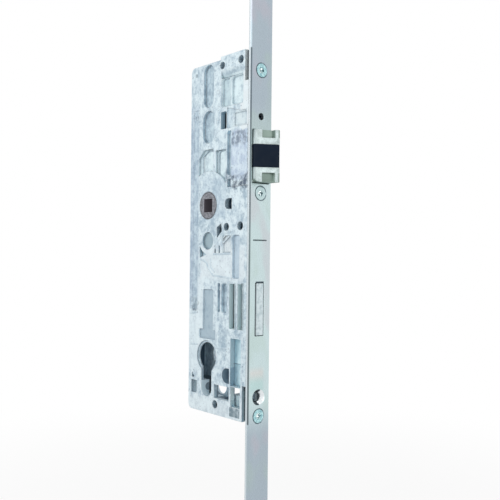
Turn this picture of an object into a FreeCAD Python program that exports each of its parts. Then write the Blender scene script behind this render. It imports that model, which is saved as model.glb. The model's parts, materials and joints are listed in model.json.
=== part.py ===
"""A multipoint mortice door lock, as a parametric document, in millimetres.

The frame: X = 0 is the front of the faceplate and +X points out of the door, Y = 0 is
the middle of the lock's thickness, and Z = 0 is the height of the handle's spindle.
The lock is drawn with its bolts at rest: latch out, deadbolt in.
"""
import FreeCAD, Part
import math
import os
import re

import Sketcher

# Driving sizes, each a cell of the sheet with the same name.
SIZES = {
    # Running clearances
    "running_gap": 0.3,
    "pin_fit": 0.03,
    "beyond": 20,
    # Standard distances of the lock
    "backset": 40,
    "cylinder_drop": 92,
    "spindle_square": 8,
    # Faceplate
    "faceplate_width": 16,
    "faceplate_thickness": 2.5,
    "faceplate_above": 150,
    "faceplate_below": 205,
    "faceplate_corner": 1,
    "fixing_inset": 10,
    "fixing_radius": 2.3,
    "fixing_sink": 4,
    "peep_hole_height": 49.8,
    "peep_hole_radius": 2,
    "mark_depth": 0.2,
    "mark_height": -21.5,
    "mark_half": 0.2,
    "mark_length": 10.3,
    # Faceplate screws
    "screw_head": 4,
    "screw_ring": 0.25,
    "screw_radius": 2,
    "screw_length": 14,
    "top_screw": -10.5,
    "middle_screw": 5.6,
    "bottom_screw": -30.5,
    "drive_core": 0.95,
    "drive_lobe": 0.5,
    "drive_depth": 1.3,
    # Case castings
    "behind_spindle": 18,
    "case_top": 87,
    "pocket_draft": 0.35,
    "hub_boss": 20.8,
    "cup_radius": 5.4,
    "cup_height": -21.6,
    "cup_depth": 1.6,
    "rib_lean": 55,
    "rib_length": 12,
    "rib_half": 0.45,
    "top_slope_high": -6.4,
    "case_step": 1.9,
    "step_back": 29,
    "below_cylinder": 34.2,
    "case_corner": 3.5,
    "near_wall": 3.4,
    "rim_wall": 2,
    "cover_thickness": 1.8,
    "cover_pocket": 0.7,
    "post_radius": 3.2,
    "closing_screw": 1.9,
    "closing_head": 3.4,
    "cross_reach": 1.7,
    "cross_half": 0.35,
    "cross_depth": 1.2,
    "end_recess_depth": 5,
    "boss_half": 3.2,
    "boss_back": 16,
    "rib_wall": 1.5,
    # Euro profile cylinder and its cam
    "cylinder_radius": 8.5,
    "cylinder_slot": 10,
    "cylinder_height": 33,
    "cam_sweep": 16,
    "cam_half_width": 5.2,
    "cylinder_ring": 9.7,
    "cylinder_ring_depth": 0.8,
    "cylinder_screw_drop": 19.7,
    "cylinder_screw_hole": 2.6,
    "cylinder_screw_sink": 4.75,
    # Latch
    "latch_height": 30,
    "latch_centre": 26.6,
    "latch_width": 12.8,
    "latch_inside": 8,
    "latch_reach": 9,
    "latch_shoulder": 2,
    "latch_nose": 0.2,
    "latch_nose_half": 4.6,
    "latch_travel": 9,
    "latch_skin": 1,
    "insert_height": 13.1,
    "insert_back": 0.8,
    "insert_inset": 0.25,
    "insert_spigot": 2,
    "insert_peg": 2.3,
    "notch_height": 4.6,
    "lower_notch_height": 5.3,
    "notch_depth": 3,
    "latch_corner": 2.5,
    "shank_thickness": 3,
    "shank_height": 8,
    "shank_centre": 26,
    "shank_grip": 4,
    "hook_width": 3.2,
    "hook_drop": 10.2,
    "cross_pin_radius": 1.2,
    "guide_radius": 1.2,
    "guide_length": 9.2,
    "guide_grip": 4,
    "shank_play": 0.2,
    "latch_spring_height": 9,
    "latch_spring_radius": 2.5,
    "latch_spring_room": 13.1,
    "spring_stop_wall": 1.3,
    "spring_wire": 0.8,
    "spring_seating": 0.05,
    "latch_spring_turns": 8,
    "return_spring_turns": 9,
    # Follower and its return
    "hub_radius": 8.2,
    "hub_fit": 0.08,
    "flange_radius": 9.4,
    "arm_lean": 19,
    "arm_length": 13.8,
    "arm_width": 2.8,
    "arm_tip": 2.5,
    "lobe_distance": 9.8,
    "lobe_radius": 1.6,
    "lobe_web": 2.6,
    "yoke_thickness": 1.5,
    "yoke_leg": 2.8,
    "yoke_clear": 8.6,
    "yoke_bar_bottom": 32,
    "yoke_bar_height": 4,
    "yoke_seat_height": 2,
    "yoke_seat_half": 4,
    "return_spring_radius": 3.3,
    "return_spring_length": 20,
    "return_spring_offset": 0.6,
    # Drive slide, gear and deadbolt
    "slide_clearance": 0.5,
    "slide_thickness": 1.4,
    "slide_travel": 17.5,
    "column_width": 3.6,
    "link_back": 10.5,
    "link_width": 3.6,
    "jog_bottom": 52,
    "jog_height": 6,
    "slot_plate_top": 47,
    "slot_plate_bottom": 20,
    "gear_module": 1.25,
    "gear_teeth": 14,
    "gear_height": 5,
    "gear_backlash": 0.45,
    "gear_pin_radius": 2.2,
    "gear_gap": 0.4,
    "rack_pitch_line": 8,
    "fork_gap": 2.6,
    "fork_near": 5.2,
    "upper_fork_top": 1.5,
    "upper_fork_length": 17.5,
    "lower_fork_bottom": -33.5,
    "lower_fork_length": 20,
    "fork_bridge": 3,
    "rivet_radius": 1,
    "rivet_inset": 2.5,
    "rivet_spacing": 4,
    "rivet_foot": 3,
    "rivet_room": 1.2,
    "deadbolt_thickness": 6,
    "deadbolt_height": 30,
    "deadbolt_centre": 30.8,
    "deadbolt_length": 32,
    "deadbolt_edge": 0.5,
    "deadbolt_tail": 12,
    "deadbolt_tail_height": 10,
    "deadbolt_throw": 20,
    "deadbolt_pin_back": 26.5,
    "deadbolt_pin_height": 42,
    "deadbolt_pin_radius": 1.6,
    "guard_back": 19,
    "guard_front": 7.3,
    "guard_top": 13.7,
    "guard_bottom": -15,
    "guard_thickness": 1.2,
    "guard_seam": -2,
    "guard_seam_half": 0.15,
    "guard_seam_depth": 0.3,
    "detent_leaf": 0.6,
    "detent_gap": 1.8,
    "detent_bump": 3,
    "detent_tail": 14,
}

# Where a place is measured from: the faceplate's front or the spindle's line along X, and the
# spindle, the cylinder's axis or the top of the case along Z.
FACE, SPINDLE = "", ""
LINE, CYLINDER, TOP = "- Sizes.backset", "- Sizes.cylinder_drop", "+ Sizes.case_top"

# Sizes that are measured from another place than the origin.
MEASURED_FROM = {
    LINE: ("link_back", "latch_spring_room"),
    CYLINDER: ("bottom_screw", "slot_plate_top", "slot_plate_bottom", "gear_height", "lower_fork_bottom",
               "deadbolt_centre", "deadbolt_pin_height", "guard_top", "guard_bottom", "guard_seam"),
    TOP: ("top_screw", "upper_fork_top"),
}
datums = {name: datum for datum, names in MEASURED_FROM.items() for name in names}

# Openings through the wall that faces the viewer, and whether the far cover has them too: back
# and front edge, bottom and top edge, corner radius.
WINDOWS = {
    "deep_window": (FACE, -28.5, -23, SPINDLE, 45, 55.5, 0.8, False),
    "upper_fixing": (LINE, 16, 22.5, SPINDLE, -3, 3.5, 3, True),
    "bolt_window_back": (FACE, -19, -14.3, CYLINDER, 18.5, 45, 0.4, False),
    "bolt_window_front": (FACE, -11.5, -7.4, CYLINDER, 18.5, 45, 0.4, False),
    "guard_window": (FACE, -17.5, -8, CYLINDER, -15, 13, 0.4, False),
    "lower_fixing": (LINE, 15, 21.7, CYLINDER, -14, -5, 4.2, True),
    "cylinder_window": (LINE, 7.3, 21.5, CYLINDER, -24.3, -16, 0.4, True),
    "corner_window": (FACE, -17, -8.5, CYLINDER, -27, -15.3, 0.4, False),
}
# Openings whose back edge is round and whose front edge is straight.
ROUND_BACKED = ("upper_fixing", "lower_fixing")
# An opening of the far cover alone.
COVER_WINDOWS = {"cover_window": (LINE, 9, 17, CYLINDER, -32, -25.5)}

# Pockets with sloping sides in the near wall: the same edges, corner radius and depth.
POCKETS = {
    "back_band": (LINE, -15.5, -10, SPINDLE, -64, 60, 0.6, 0.5),
    "top_pocket": (FACE, -28.5, -8, TOP, -29, -11.2, 1.5, 0.9),
    "top_pocket_back": (FACE, -28, -21, TOP, -28.5, -11.6, 1.2, 1.9),
    "top_pocket_front": (FACE, -19.4, -8.4, TOP, -28.5, -11.6, 1.6, 2.1),
    "row_front": (FACE, -16.6, -5.2, SPINDLE, 45.6, 53.6, 0.8, 1.3),
    "groove": (FACE, -22.5, -17.9, SPINDLE, 17, 43.5, 1.8, 1.7),
    "small_square": (FACE, -22, -18, SPINDLE, 10, 15, 0.4, 2),
    "slit_back": (LINE, 6.5, 8, SPINDLE, -29, -24.5, 0.3, 2.2),
    "slit_front": (FACE, -29.5, -28, SPINDLE, -29, -24.5, 0.3, 2.2),
    "bright_pocket": (FACE, -26, -18, SPINDLE, -29, -18.5, 1, 1.3),
    "long_groove": (FACE, -16.8, -10, SPINDLE, -44, -18.2, 1.5, 1.5),
    "tall_pocket": (LINE, -4.5, 6, CYLINDER, 12, 41, 1.5, 1.1),
    "tall_pocket_foot": (LINE, -8, 8.5, CYLINDER, 10.5, 16.5, 1.2, 1.1),
    "ribbed_pocket_back": (FACE, -30, -27.6, CYLINDER, 27.5, 45, 0.6, 2),
    "ribbed_pocket_front": (FACE, -26.5, -21, CYLINDER, 27.5, 45, 1.5, 2),
    "corner_pocket": (LINE, -15.5, -9.5, CYLINDER, -24, -16, 0.4, 1.5),
}

# Pockets with round ends, cut straight in: the same edges, and depth.
OBLONGS = {
    "upper_oblong": (LINE, -5.5, 4.5, TOP, -27, -0.6, 2),
    "middle_oblong": (LINE, -6, 5.5, SPINDLE, 38, 58, 2),
}

# Recesses of other shapes: depth, then their corners across and up.
SHAPES = {
    "bow_slot": (LINE, SPINDLE, 2.3, [(-8, -25), (-8, -32), (-1, -30), (-5, -28)]),
    "slant_slot": (LINE, SPINDLE, 3.4, [(8.5, -13.5), (13, -11), (13.5, -16), (9, -20)]),
    "small_corner": (LINE, CYLINDER, 2, [(-14.5, -11), (-11.8, -14.3), (-14.8, -14.5)]),
    "row_pocket": (FACE, SPINDLE, 0.5, [(-22.6, 45), (-22.6, 57.5), (-10, 54.2), (-4.6, 54.2), (-4.6, 45)]),
    "centre_back": (LINE, SPINDLE, 1.4, [(-9.8, 12), (-9.8, 29.6), (-4.6, 34.3), (4.6, 34.5), (4.6, 12)]),
    "centre_step": (LINE, SPINDLE, 1.8, [(-6, 12), (-6, 31), (-3.4, 33.4), (3.4, 33.4), (3.4, 12)]),
    "centre_front": (LINE, SPINDLE, 1.6, [(7, 8), (7, 33), (16.5, 33), (16.5, 8)]),
}
# The recesses whose lower edge follows the round boss of the hub.
ROUND_THE_HUB = ("centre_back", "centre_step", "centre_front")
CORNERS = "abcdef"

# Closing screws, seen as dark round holes: place across and up, radius of the near hole.
POSTS = {
    "post_top_back": (FACE, -27.5, TOP, -3.6, 2.3),
    "post_top_front": (FACE, -10.4, TOP, -3.2, 2.4),
    "post_middle_back": (LINE, 17.7, SPINDLE, -13.4, 2.4),
    "post_middle_front": (FACE, -9.8, SPINDLE, -13.1, 2.6),
    "post_bottom": (LINE, 8.5, CYLINDER, -28, 2.5),
}


def add_size(name, number, datum=""):
    """Keep a size of a table, with the place that it is measured from."""
    SIZES[name] = number
    if datum:
        datums[name] = datum


for table, extras in ((WINDOWS, ("corner",)), (COVER_WINDOWS, ()), (POCKETS, ("corner", "depth")),
                      (OBLONGS, ("depth",))):
    for name, (across, back, front, up, low, high, *rest) in table.items():
        for edge, number in (("back", back), ("front", front)):
            add_size(f"{name}_{edge}", number, across)
        for edge, number in (("low", low), ("high", high)):
            add_size(f"{name}_{edge}", number, up)
        for extra, number in zip(extras, rest):
            add_size(f"{name}_{extra}", number)
for name, (across, up, depth, corners) in SHAPES.items():
    add_size(f"{name}_depth", depth)
    for letter, (x, z) in zip(CORNERS, corners):
        add_size(f"{name}_across_{letter}", x, across)
        add_size(f"{name}_up_{letter}", z, up)
for name, (across, x, up, z, radius) in POSTS.items():
    add_size(f"{name}_across", x, across)
    add_size(f"{name}_up", z, up)
    add_size(f"{name}_hole", radius)

doc = FreeCAD.newDocument("door_lock")
sheet = doc.addObject("Spreadsheet::Sheet", "Sizes")
for row, (alias, number) in enumerate(SIZES.items(), 1):
    sheet.set(f"A{row}", alias)
    sheet.set(f"B{row}", str(number))
    sheet.setAlias(f"B{row}", alias)
doc.recompute()

# Places that follow from the sizes, as formulas. Depths run along Y, from the near wall
# (low) through the working layers to the far cover (high).
SHANK_HALF = "shank_thickness / 2"
SHANK_LOW = "shank_centre - shank_height / 2"
SHANK_HIGH = "shank_centre + shank_height / 2"
YOKE_FAR = "(-shank_thickness / 2 - running_gap)"
YOKE_NEAR = f"({YOKE_FAR} - yoke_thickness)"
NEAR_INNER = f"({YOKE_NEAR} - running_gap)"
NEAR_OUTER = f"({NEAR_INNER} - near_wall)"
SLIDE_NEAR = "(deadbolt_thickness / 2 + slide_clearance)"
SLIDE_FAR = f"({SLIDE_NEAR} + slide_thickness)"
COVER_INNER = f"({SLIDE_FAR} + running_gap)"
COVER_OUTER = f"({COVER_INNER} + cover_thickness)"
UNDER_SLIDE = f"({SLIDE_NEAR} - running_gap)"
LATCH_ROOM = "(latch_width / 2 + running_gap / 2)"
LATCH_BOX = f"({LATCH_ROOM} + latch_skin)"

CASE_BACK = "(-backset - behind_spindle)"
CASE_FRONT = "(-faceplate_thickness)"
CASE_BOTTOM = "(-cylinder_drop - below_cylinder)"
STEP_TOP = "(case_top + case_step)"
FORK_FRONT = "(-faceplate_thickness - running_gap)"
FORK_BACK = f"({FORK_FRONT} - column_width)"
CYLINDER_SCREW = "(-cylinder_drop - cylinder_screw_drop)"
LATCH_TOP = "(latch_centre + latch_height / 2)"
LATCH_BOTTOM = "(latch_centre - latch_height / 2)"
BOLT_TOP = "(deadbolt_centre + deadbolt_height / 2)"
BOLT_BOTTOM = "(deadbolt_centre - deadbolt_height / 2)"
LINK_FRONT = "(link_back + link_width)"
SPRING_HEIGHT = "(shank_centre + latch_spring_height)"
DETENT_BACK = "(link_back - detent_gap - detent_leaf)"
DETENT_TOP = "(deadbolt_pin_height + detent_tail)"
LATCH_BACK = "(-latch_inside - latch_travel)"
THROUGH = (f"({NEAR_OUTER} - beyond)", f"({COVER_INNER} + beyond)")
NEAR_SKIN = (f"({NEAR_OUTER} - beyond)", f"({NEAR_INNER} + running_gap)")
GEAR_RADIUS = "(gear_module * gear_teeth / 2)"
GEAR_PLACE = f"(-rack_pitch_line - {GEAR_RADIUS})"
SPRING_REST = "(yoke_bar_bottom + yoke_bar_height + yoke_seat_height)"
SPRING_TOP = f"({SPRING_REST} + return_spring_length)"
YOKE_FOOT = "(lobe_radius + running_gap - lobe_distance * sin(arm_lean))"

# The corner radius of a pocket with round ends, as a share of its width.
OBLONG_ROUND = 0.48
# How far a cut runs past the face that it opens.
PAST = 1
# The least radius of a rounded inner corner of the case.
LEAST_ROUND = 0.5
# Where the two diagonal ribs start, as shares of their length.
RIB_RISES = (0.3, 0.55)
# Where the notches of the latch start and end on its slanted face, and how its corner is bent.
NOTCH_START, NOTCH_END = 0.33, 0.92
CORNER_BEND = 0.3
# The teeth, in modules above and below the pitch line, and their half widths in pitches.
ADDENDUM, DEDENDUM, TOOTH_SUNK = 0.92, 1.25, 1.35
GEAR_TOOTH = {"root": 0.36, "middle": 0.25, "tip": 0.1}
RACK_TOOTH = {"root": 0.38, "tip": 0.14}
# How deep the rack's teeth are rooted in the slide, and how far the rack runs past its travel.
RACK_SUNK, RACK_SPARE = 0.2, 10
AXES = "xyz"
ALONG = {
    "x": FreeCAD.Rotation(FreeCAD.Vector(0, 1, 0), 90),
    "y": FreeCAD.Rotation(FreeCAD.Vector(1, 0, 0), -90),
    "z": FreeCAD.Rotation(),
}
# A sketch's own axes laid on X and Z, on X and Y, or on Y and Z.
FACING = {
    "y": FreeCAD.Rotation(FreeCAD.Vector(1, 0, 0), 90),
    "z": FreeCAD.Rotation(),
    "x": FreeCAD.Rotation(FreeCAD.Vector(1, 1, 1), 120),
}
nodes = []


def formula(text):
    """The text with each size's name turned into a reference to its cell and its datum."""
    def refer(word):
        name = word.group(0)
        if name not in SIZES:
            return name
        return f"(Sizes.{name} {datums[name]})" if name in datums else f"Sizes.{name}"
    return re.sub(r"[a-z][a-z_]*", refer, str(text))


def block(name, x, y, z):
    """A box between pairs of places along X, Y and Z."""
    solid = doc.addObject("Part::Box", name)
    for side, axis, (low, high) in zip(("Length", "Width", "Height"), AXES, (x, y, z)):
        solid.setExpression(side, formula(f"({high}) - ({low})"))
        solid.setExpression(f"Placement.Base.{axis}", formula(low))
    return solid


def rounded(name, core, along, radius, back_only=False):
    """A solid whose edges along one axis are rounded, or only those at its back."""
    doc.recompute()
    direction = FreeCAD.Vector(*(float(axis == along) for axis in AXES))
    middle = core.Shape.BoundBox.Center.x
    solid = doc.addObject("Part::Fillet", name)
    solid.Base = core
    solid.Edges = [
        (number, radius, radius)
        for number, edge in enumerate(core.Shape.Edges, 1)
        if abs(edge.tangentAt(edge.FirstParameter).dot(direction)) > 0.5
        and not (back_only and edge.CenterOfMass.x > middle)
    ]
    return solid


def rounded_block(name, x, y, z, along, radius, back_only=False):
    """A box whose edges along one axis are rounded."""
    return rounded(name, block(f"{name}_core", x, y, z), along, radius, back_only)


def sloping_pocket(name, outside, sink, radius):
    """The hollow of a pocket that narrows from the outside wall to its floor."""
    (back, front), (low, high) = edges_of(name)
    core = doc.addObject("Part::Wedge", f"case_{name}_core")
    core.setExpression("Ymin", formula(f"{outside} - {sink}"))
    core.setExpression("Ymax", formula(f"{outside} + {sink}"))
    for letter, least, most in (("X", back, front), ("Z", low, high)):
        core.setExpression(f"{letter}min", formula(f"{least} - pocket_draft"))
        core.setExpression(f"{letter}max", formula(f"{most} + pocket_draft"))
        core.setExpression(f"{letter}2min", formula(f"{least} + pocket_draft"))
        core.setExpression(f"{letter}2max", formula(f"{most} - pocket_draft"))
    return rounded(f"case_{name}", core, "y", radius)


def rod(name, along, centre, radius, span, end_radius=None):
    """A cylinder along an axis, or a cone where it ends at another radius."""
    solid = doc.addObject("Part::Cylinder" if end_radius is None else "Part::Cone", name)
    solid.Placement = FreeCAD.Placement(FreeCAD.Vector(), ALONG[along])
    if end_radius is None:
        solid.setExpression("Radius", formula(radius))
    else:
        solid.setExpression("Radius1", formula(radius))
        solid.setExpression("Radius2", formula(end_radius))
    solid.setExpression("Height", formula(f"({span[1]}) - ({span[0]})"))
    others = [axis for axis in AXES if axis != along]
    solid.setExpression(f"Placement.Base.{along}", formula(span[0]))
    for axis, place in zip(others, centre):
        solid.setExpression(f"Placement.Base.{axis}", formula(place))
    return solid


def plate(name, along, outline, span):
    """A straight-sided outline, sketched across an axis and given its thickness along it."""
    sketch = doc.addObject("Sketcher::SketchObject", f"{name}_outline")
    sketch.Placement = FreeCAD.Placement(FreeCAD.Vector(), FACING[along])
    sketch.setExpression(f"Placement.Base.{along}", formula(span[0]))
    count = len(outline)
    ring = [
        FreeCAD.Vector(math.cos(2 * math.pi * step / count), math.sin(2 * math.pi * step / count))
        for step in range(count)
    ]
    for step in range(count):
        sketch.addGeometry(Part.LineSegment(ring[step], ring[(step + 1) % count]))
    for step in range(count):
        sketch.addConstraint(Sketcher.Constraint("Coincident", step, 2, (step + 1) % count, 1))
    for step, (across, up) in enumerate(outline):
        for kind, place, start in (("DistanceX", across, ring[step].x), ("DistanceY", up, ring[step].y)):
            number = sketch.addConstraint(Sketcher.Constraint(kind, -1, 1, step, 1, start))
            sketch.setExpression(f"Constraints[{number}]", formula(place))
    solid = doc.addObject("Part::Extrusion", name)
    solid.Base = sketch
    solid.DirMode = "Custom"
    solid.Dir = FreeCAD.Vector(*(float(axis == along) for axis in AXES))
    solid.Solid = True
    solid.setExpression("LengthFwd", formula(f"({span[1]}) - ({span[0]})"))
    return solid


def fuse(name, parts):
    """Several solids joined into one."""
    joined = doc.addObject("Part::MultiFuse", name)
    joined.Shapes = parts
    joined.Refine = True
    return joined


def cut(name, base, tools):
    """A solid with others taken out of it."""
    result = doc.addObject("Part::Cut", name)
    result.Base = base
    result.Tool = tools[0] if len(tools) == 1 else fuse(f"{name}_tools", tools)
    result.Refine = True
    return result


def node(label, solid):
    """Mark a finished solid as a piece of the lock and name it."""
    solid.Label = label
    nodes.append(solid)
    return solid


def edges_of(name):
    """The X and Z spans of an opening or a pocket in the case."""
    return (f"{name}_back", f"{name}_front"), (f"{name}_low", f"{name}_high")


def slant(start, angle, length, width):
    """The corners of a straight bar that leans from upright towards +X by an angle."""
    across, up = start
    side = f"{width} / 2"
    corners = []
    for reach, sign in ((0, "-"), (length, "-"), (length, "+"), (0, "+")):
        corners.append((
            f"{across} + ({reach}) * sin({angle}) {sign} {side} * cos({angle})",
            f"{up} + ({reach}) * cos({angle}) {'+' if sign == '-' else '-'} {side} * sin({angle})",
        ))
    return corners


def cylinder_profile(name, low, high):
    """The euro profile: a circle with a round-ended slot below it."""
    half = "cylinder_slot / 2"
    foot = f"(-cylinder_drop + cylinder_radius - cylinder_height + {half})"
    return [
        rod(f"{name}_round", "y", ("-backset", "-cylinder_drop"), "cylinder_radius", (low, high)),
        block(f"{name}_slot", (f"-backset - {half}", f"-backset + {half}"), (low, high),
              (foot, "-cylinder_drop")),
        rod(f"{name}_foot", "y", ("-backset", foot), half, (low, high)),
    ]


def case_outline(name, depth, inset="0"):
    """The case's outline with its stepped top, between two depths, drawn in by an inset."""
    return [
        rounded_block(f"{name}_body", (f"{CASE_BACK} + {inset}", CASE_FRONT), depth,
                      (f"{CASE_BOTTOM} + {inset}", f"case_top - {inset}"), "y",
                      max(SIZES["case_corner"] - (SIZES["rim_wall"] if inset != "0" else 0), LEAST_ROUND)),
        block(f"{name}_front", (f"-step_back + {inset}", CASE_FRONT), depth,
              (f"{CASE_BOTTOM} + {inset}", f"{STEP_TOP} - {inset}")),
    ]


def case_bosses():
    """What stands up inside the near casting: boxes, ribs, stops, sleeves and posts."""
    inside = (NEAR_INNER, UNDER_SLIDE)
    latch_x = (f"{LATCH_BACK} - latch_skin", CASE_FRONT)
    guide_front = "-backset - yoke_clear - yoke_leg - running_gap"
    bosses = [
        block("case_latch_box", latch_x, (f"-{LATCH_BOX}", NEAR_INNER),
              (f"{LATCH_BOTTOM} - running_gap - latch_skin", f"{LATCH_TOP} + running_gap + 3 * latch_skin")),
        block("case_rib_over_latch", latch_x, inside,
              (f"{LATCH_TOP} + running_gap", f"{LATCH_TOP} + running_gap + rib_wall")),
        block("case_rib_under_latch", latch_x, inside,
              (f"{LATCH_BOTTOM} - running_gap - rib_wall", f"{LATCH_BOTTOM} - running_gap")),
        block("case_rib_over_bolt", ("-guard_back - 2 * rib_wall", CASE_FRONT), inside,
              (f"{BOLT_TOP} + running_gap", f"{BOLT_TOP} + running_gap + rib_wall")),
        block("case_rib_under_bolt", ("-rack_pitch_line - gear_module", CASE_FRONT), inside,
              (f"{BOLT_BOTTOM} - running_gap - rib_wall", f"{BOLT_BOTTOM} - running_gap")),
        block("case_spring_stop", ("latch_spring_room - spring_stop_wall", "latch_spring_room"), inside,
              (f"{SPRING_HEIGHT} - yoke_seat_half", f"{SPRING_HEIGHT} + yoke_seat_half")),
        block("case_spring_seat", ("-backset - yoke_seat_half", "-backset + yoke_seat_half"),
              (NEAR_INNER, f"{SLIDE_FAR} - rib_wall / 3"),
              (SPRING_TOP, f"{SPRING_TOP} + yoke_seat_height")),
        block("case_yoke_guide", (f"{guide_front} - rib_wall", guide_front), (NEAR_INNER, YOKE_FAR),
              (0, "yoke_bar_bottom")),
        block("case_detent_seat", (f"{DETENT_BACK} - 2 * rib_wall", "link_back - 2 * running_gap"),
              (NEAR_INNER, SLIDE_FAR), (f"{BOLT_TOP} + 2 * rib_wall", f"{DETENT_TOP} + rib_wall")),
    ]
    for name in ("upper_fixing", "lower_fixing"):
        (back, front), (low, high) = edges_of(name)
        bosses.append(block(f"case_{name}_sleeve", (f"{back} - latch_skin", f"{front} + latch_skin"),
                            (NEAR_INNER, COVER_INNER), (f"{low} - latch_skin", f"{high} + latch_skin")))
    for name in POSTS:
        bosses.append(rod(f"case_{name}", "y", (f"{name}_across", f"{name}_up"), "post_radius",
                          (NEAR_INNER, COVER_INNER)))
    for name, front in (("top_screw", f"{FORK_BACK} - running_gap"), ("middle_screw", CASE_FRONT),
                        ("bottom_screw", f"{FORK_BACK} - running_gap")):
        bosses.append(block(f"case_{name}_boss", ("-boss_back", front), inside,
                            (f"{name} - boss_half", f"{name} + boss_half")))
    return bosses


def case_rooms():
    """The hollows that the working parts need inside the near casting."""
    fork_x = (f"{FORK_BACK} - running_gap", f"{CASE_FRONT} + rib_wall")
    lower_fork_top = "lower_fork_bottom + lower_fork_length"
    return [
        block("case_latch_room", (f"{LATCH_BACK} - running_gap", f"{CASE_FRONT} + rib_wall"),
              (f"-{LATCH_ROOM}", THROUGH[1]),
              (f"{LATCH_BOTTOM} - running_gap", f"{LATCH_TOP} + running_gap")),
        block("case_shank_way", ("-backset", "-latch_inside"), (f"-{SHANK_HALF} - running_gap", THROUGH[1]),
              (f"{SHANK_LOW} - running_gap", f"{SHANK_HIGH} + running_gap")),
        rod("case_hub_hole", "y", ("-backset", 0), "hub_radius + hub_fit", THROUGH),
        rod("case_cam_room", "y", ("-backset", "-cylinder_drop"), "cam_sweep",
            ("-cam_half_width", THROUGH[1])),
        rod("case_screw_way", "x", (0, CYLINDER_SCREW), "cylinder_screw_hole", ("-backset", 0)),
        block("case_upper_notch", fork_x, THROUGH,
              ("upper_fork_top - upper_fork_length - running_gap", f"{STEP_TOP} + rib_wall")),
        block("case_lower_notch", fork_x, THROUGH, (f"{CASE_BOTTOM} - rib_wall", lower_fork_top)),
        block("case_lower_groove", fork_x, ("-fork_near - running_gap", UNDER_SLIDE),
              (f"{lower_fork_top} - rib_wall", f"{lower_fork_top} + slide_travel + running_gap")),
        rod("case_gear_room", "y", (GEAR_PLACE, "gear_height"), f"{GEAR_RADIUS} + gear_module + running_gap",
            (NEAR_INNER, THROUGH[1])),
        block("case_guard_room", ("-guard_back - running_gap", "-guard_front + running_gap"),
              (NEAR_INNER, f"{NEAR_INNER} + guard_thickness + running_gap / 2"),
              ("guard_bottom - running_gap", "guard_top + running_gap")),
        block("case_detent_slot", (f"{DETENT_BACK} - pin_fit", f"{DETENT_BACK} + detent_leaf + pin_fit"),
              (UNDER_SLIDE, THROUGH[1]), (BOLT_TOP, f"{DETENT_TOP} + running_gap")),
    ]


def case_pockets():
    """The openings, pockets and recesses that show in the near wall."""
    outer = f"{NEAR_OUTER} - beyond"
    hollows = cylinder_profile("case_cylinder", *NEAR_SKIN) + [
        rod("case_cylinder_ring", "y", ("-backset", "-cylinder_drop"), "cylinder_ring",
            (outer, f"{NEAR_OUTER} + cylinder_ring_depth")),
        rod("case_cup", "y", ("-backset", "cup_height"), "cup_radius", (outer, f"{NEAR_OUTER} + cup_depth")),
        plate("case_top_slope", "x", [
            (outer, "top_pocket_high"),
            (f"{NEAR_OUTER} + top_pocket_front_depth", "top_pocket_high - pocket_draft"),
            (NEAR_OUTER, "case_top + top_slope_high"), (outer, "case_top + top_slope_high"),
        ], ("top_pocket_back", "top_pocket_front")),
    ]
    for name in WINDOWS:
        x, z = edges_of(name)
        hollows.append(rounded_block(f"case_{name}", x, THROUGH if WINDOWS[name][-1] else NEAR_SKIN, z, "y",
                                     SIZES[f"{name}_corner"], name in ROUND_BACKED))
    for name in POCKETS:
        pocket = sloping_pocket(name, NEAR_OUTER, f"{name}_depth", SIZES[f"{name}_corner"])
        if name == "bright_pocket":
            ribs = [
                plate(f"case_diagonal_rib_{number}", "y",
                      slant(("slit_front_back", f"bright_pocket_low + {rise} * rib_length"), "rib_lean",
                            "rib_length", "2 * rib_half"),
                      (f"{NEAR_OUTER} + rib_half", f"{NEAR_OUTER} + 2 * bright_pocket_depth"))
                for number, rise in enumerate(RIB_RISES)
            ]
            pocket = cut("case_bright_pocket_ribbed", pocket, ribs)
        hollows.append(pocket)
    for name in OBLONGS:
        (back, front), z = edges_of(name)
        width = SIZES[f"{name}_front"] - SIZES[f"{name}_back"]
        depth = (outer, f"{NEAR_OUTER} + {name}_depth")
        hollows.append(rounded_block(f"case_{name}", (back, front), depth, z, "y", OBLONG_ROUND * width))
    for name, (_, _, _, corners) in SHAPES.items():
        outline = [(f"{name}_across_{letter}", f"{name}_up_{letter}") for letter in CORNERS[:len(corners)]]
        hollow = plate(f"case_{name}", "y", outline, (outer, f"{NEAR_OUTER} + {name}_depth"))
        if name in ROUND_THE_HUB:
            boss = rod(f"case_{name}_boss", "y", ("-backset", 0), "hub_boss",
                       (f"{outer} - beyond", NEAR_INNER))
            hollow = cut(f"case_{name}_round", hollow, [boss])
        hollows.append(hollow)
    return hollows


def case_bores():
    """The holes of the closing screws and of the faceplate's screws."""
    bores = []
    for name in POSTS:
        place = (f"{name}_across", f"{name}_up")
        bores.append(rod(f"case_{name}_bore", "y", place, "closing_screw + pin_fit", THROUGH))
        bores.append(rod(f"case_{name}_end", "y", place, f"{name}_hole",
                         (THROUGH[0], f"{NEAR_OUTER} + end_recess_depth")))
    for name in ("top_screw", "middle_screw", "bottom_screw"):
        bores.append(rod(f"case_{name}_bore", "x", (0, name), "screw_radius + pin_fit", ("-boss_back", 0)))
    return bores


def lock_case():
    """The near casting: wall, rim, posts, ribs and the pockets that show."""
    shell = cut("case_shell", fuse("case_solid", case_outline("case", (NEAR_OUTER, COVER_INNER))),
                case_outline("case_room", (NEAR_INNER, THROUGH[1]), "rim_wall"))
    solid = fuse("case_filled", [shell] + case_bosses())
    node("lock_case", cut("lock_case", solid, case_rooms() + case_pockets() + case_bores()))


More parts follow.
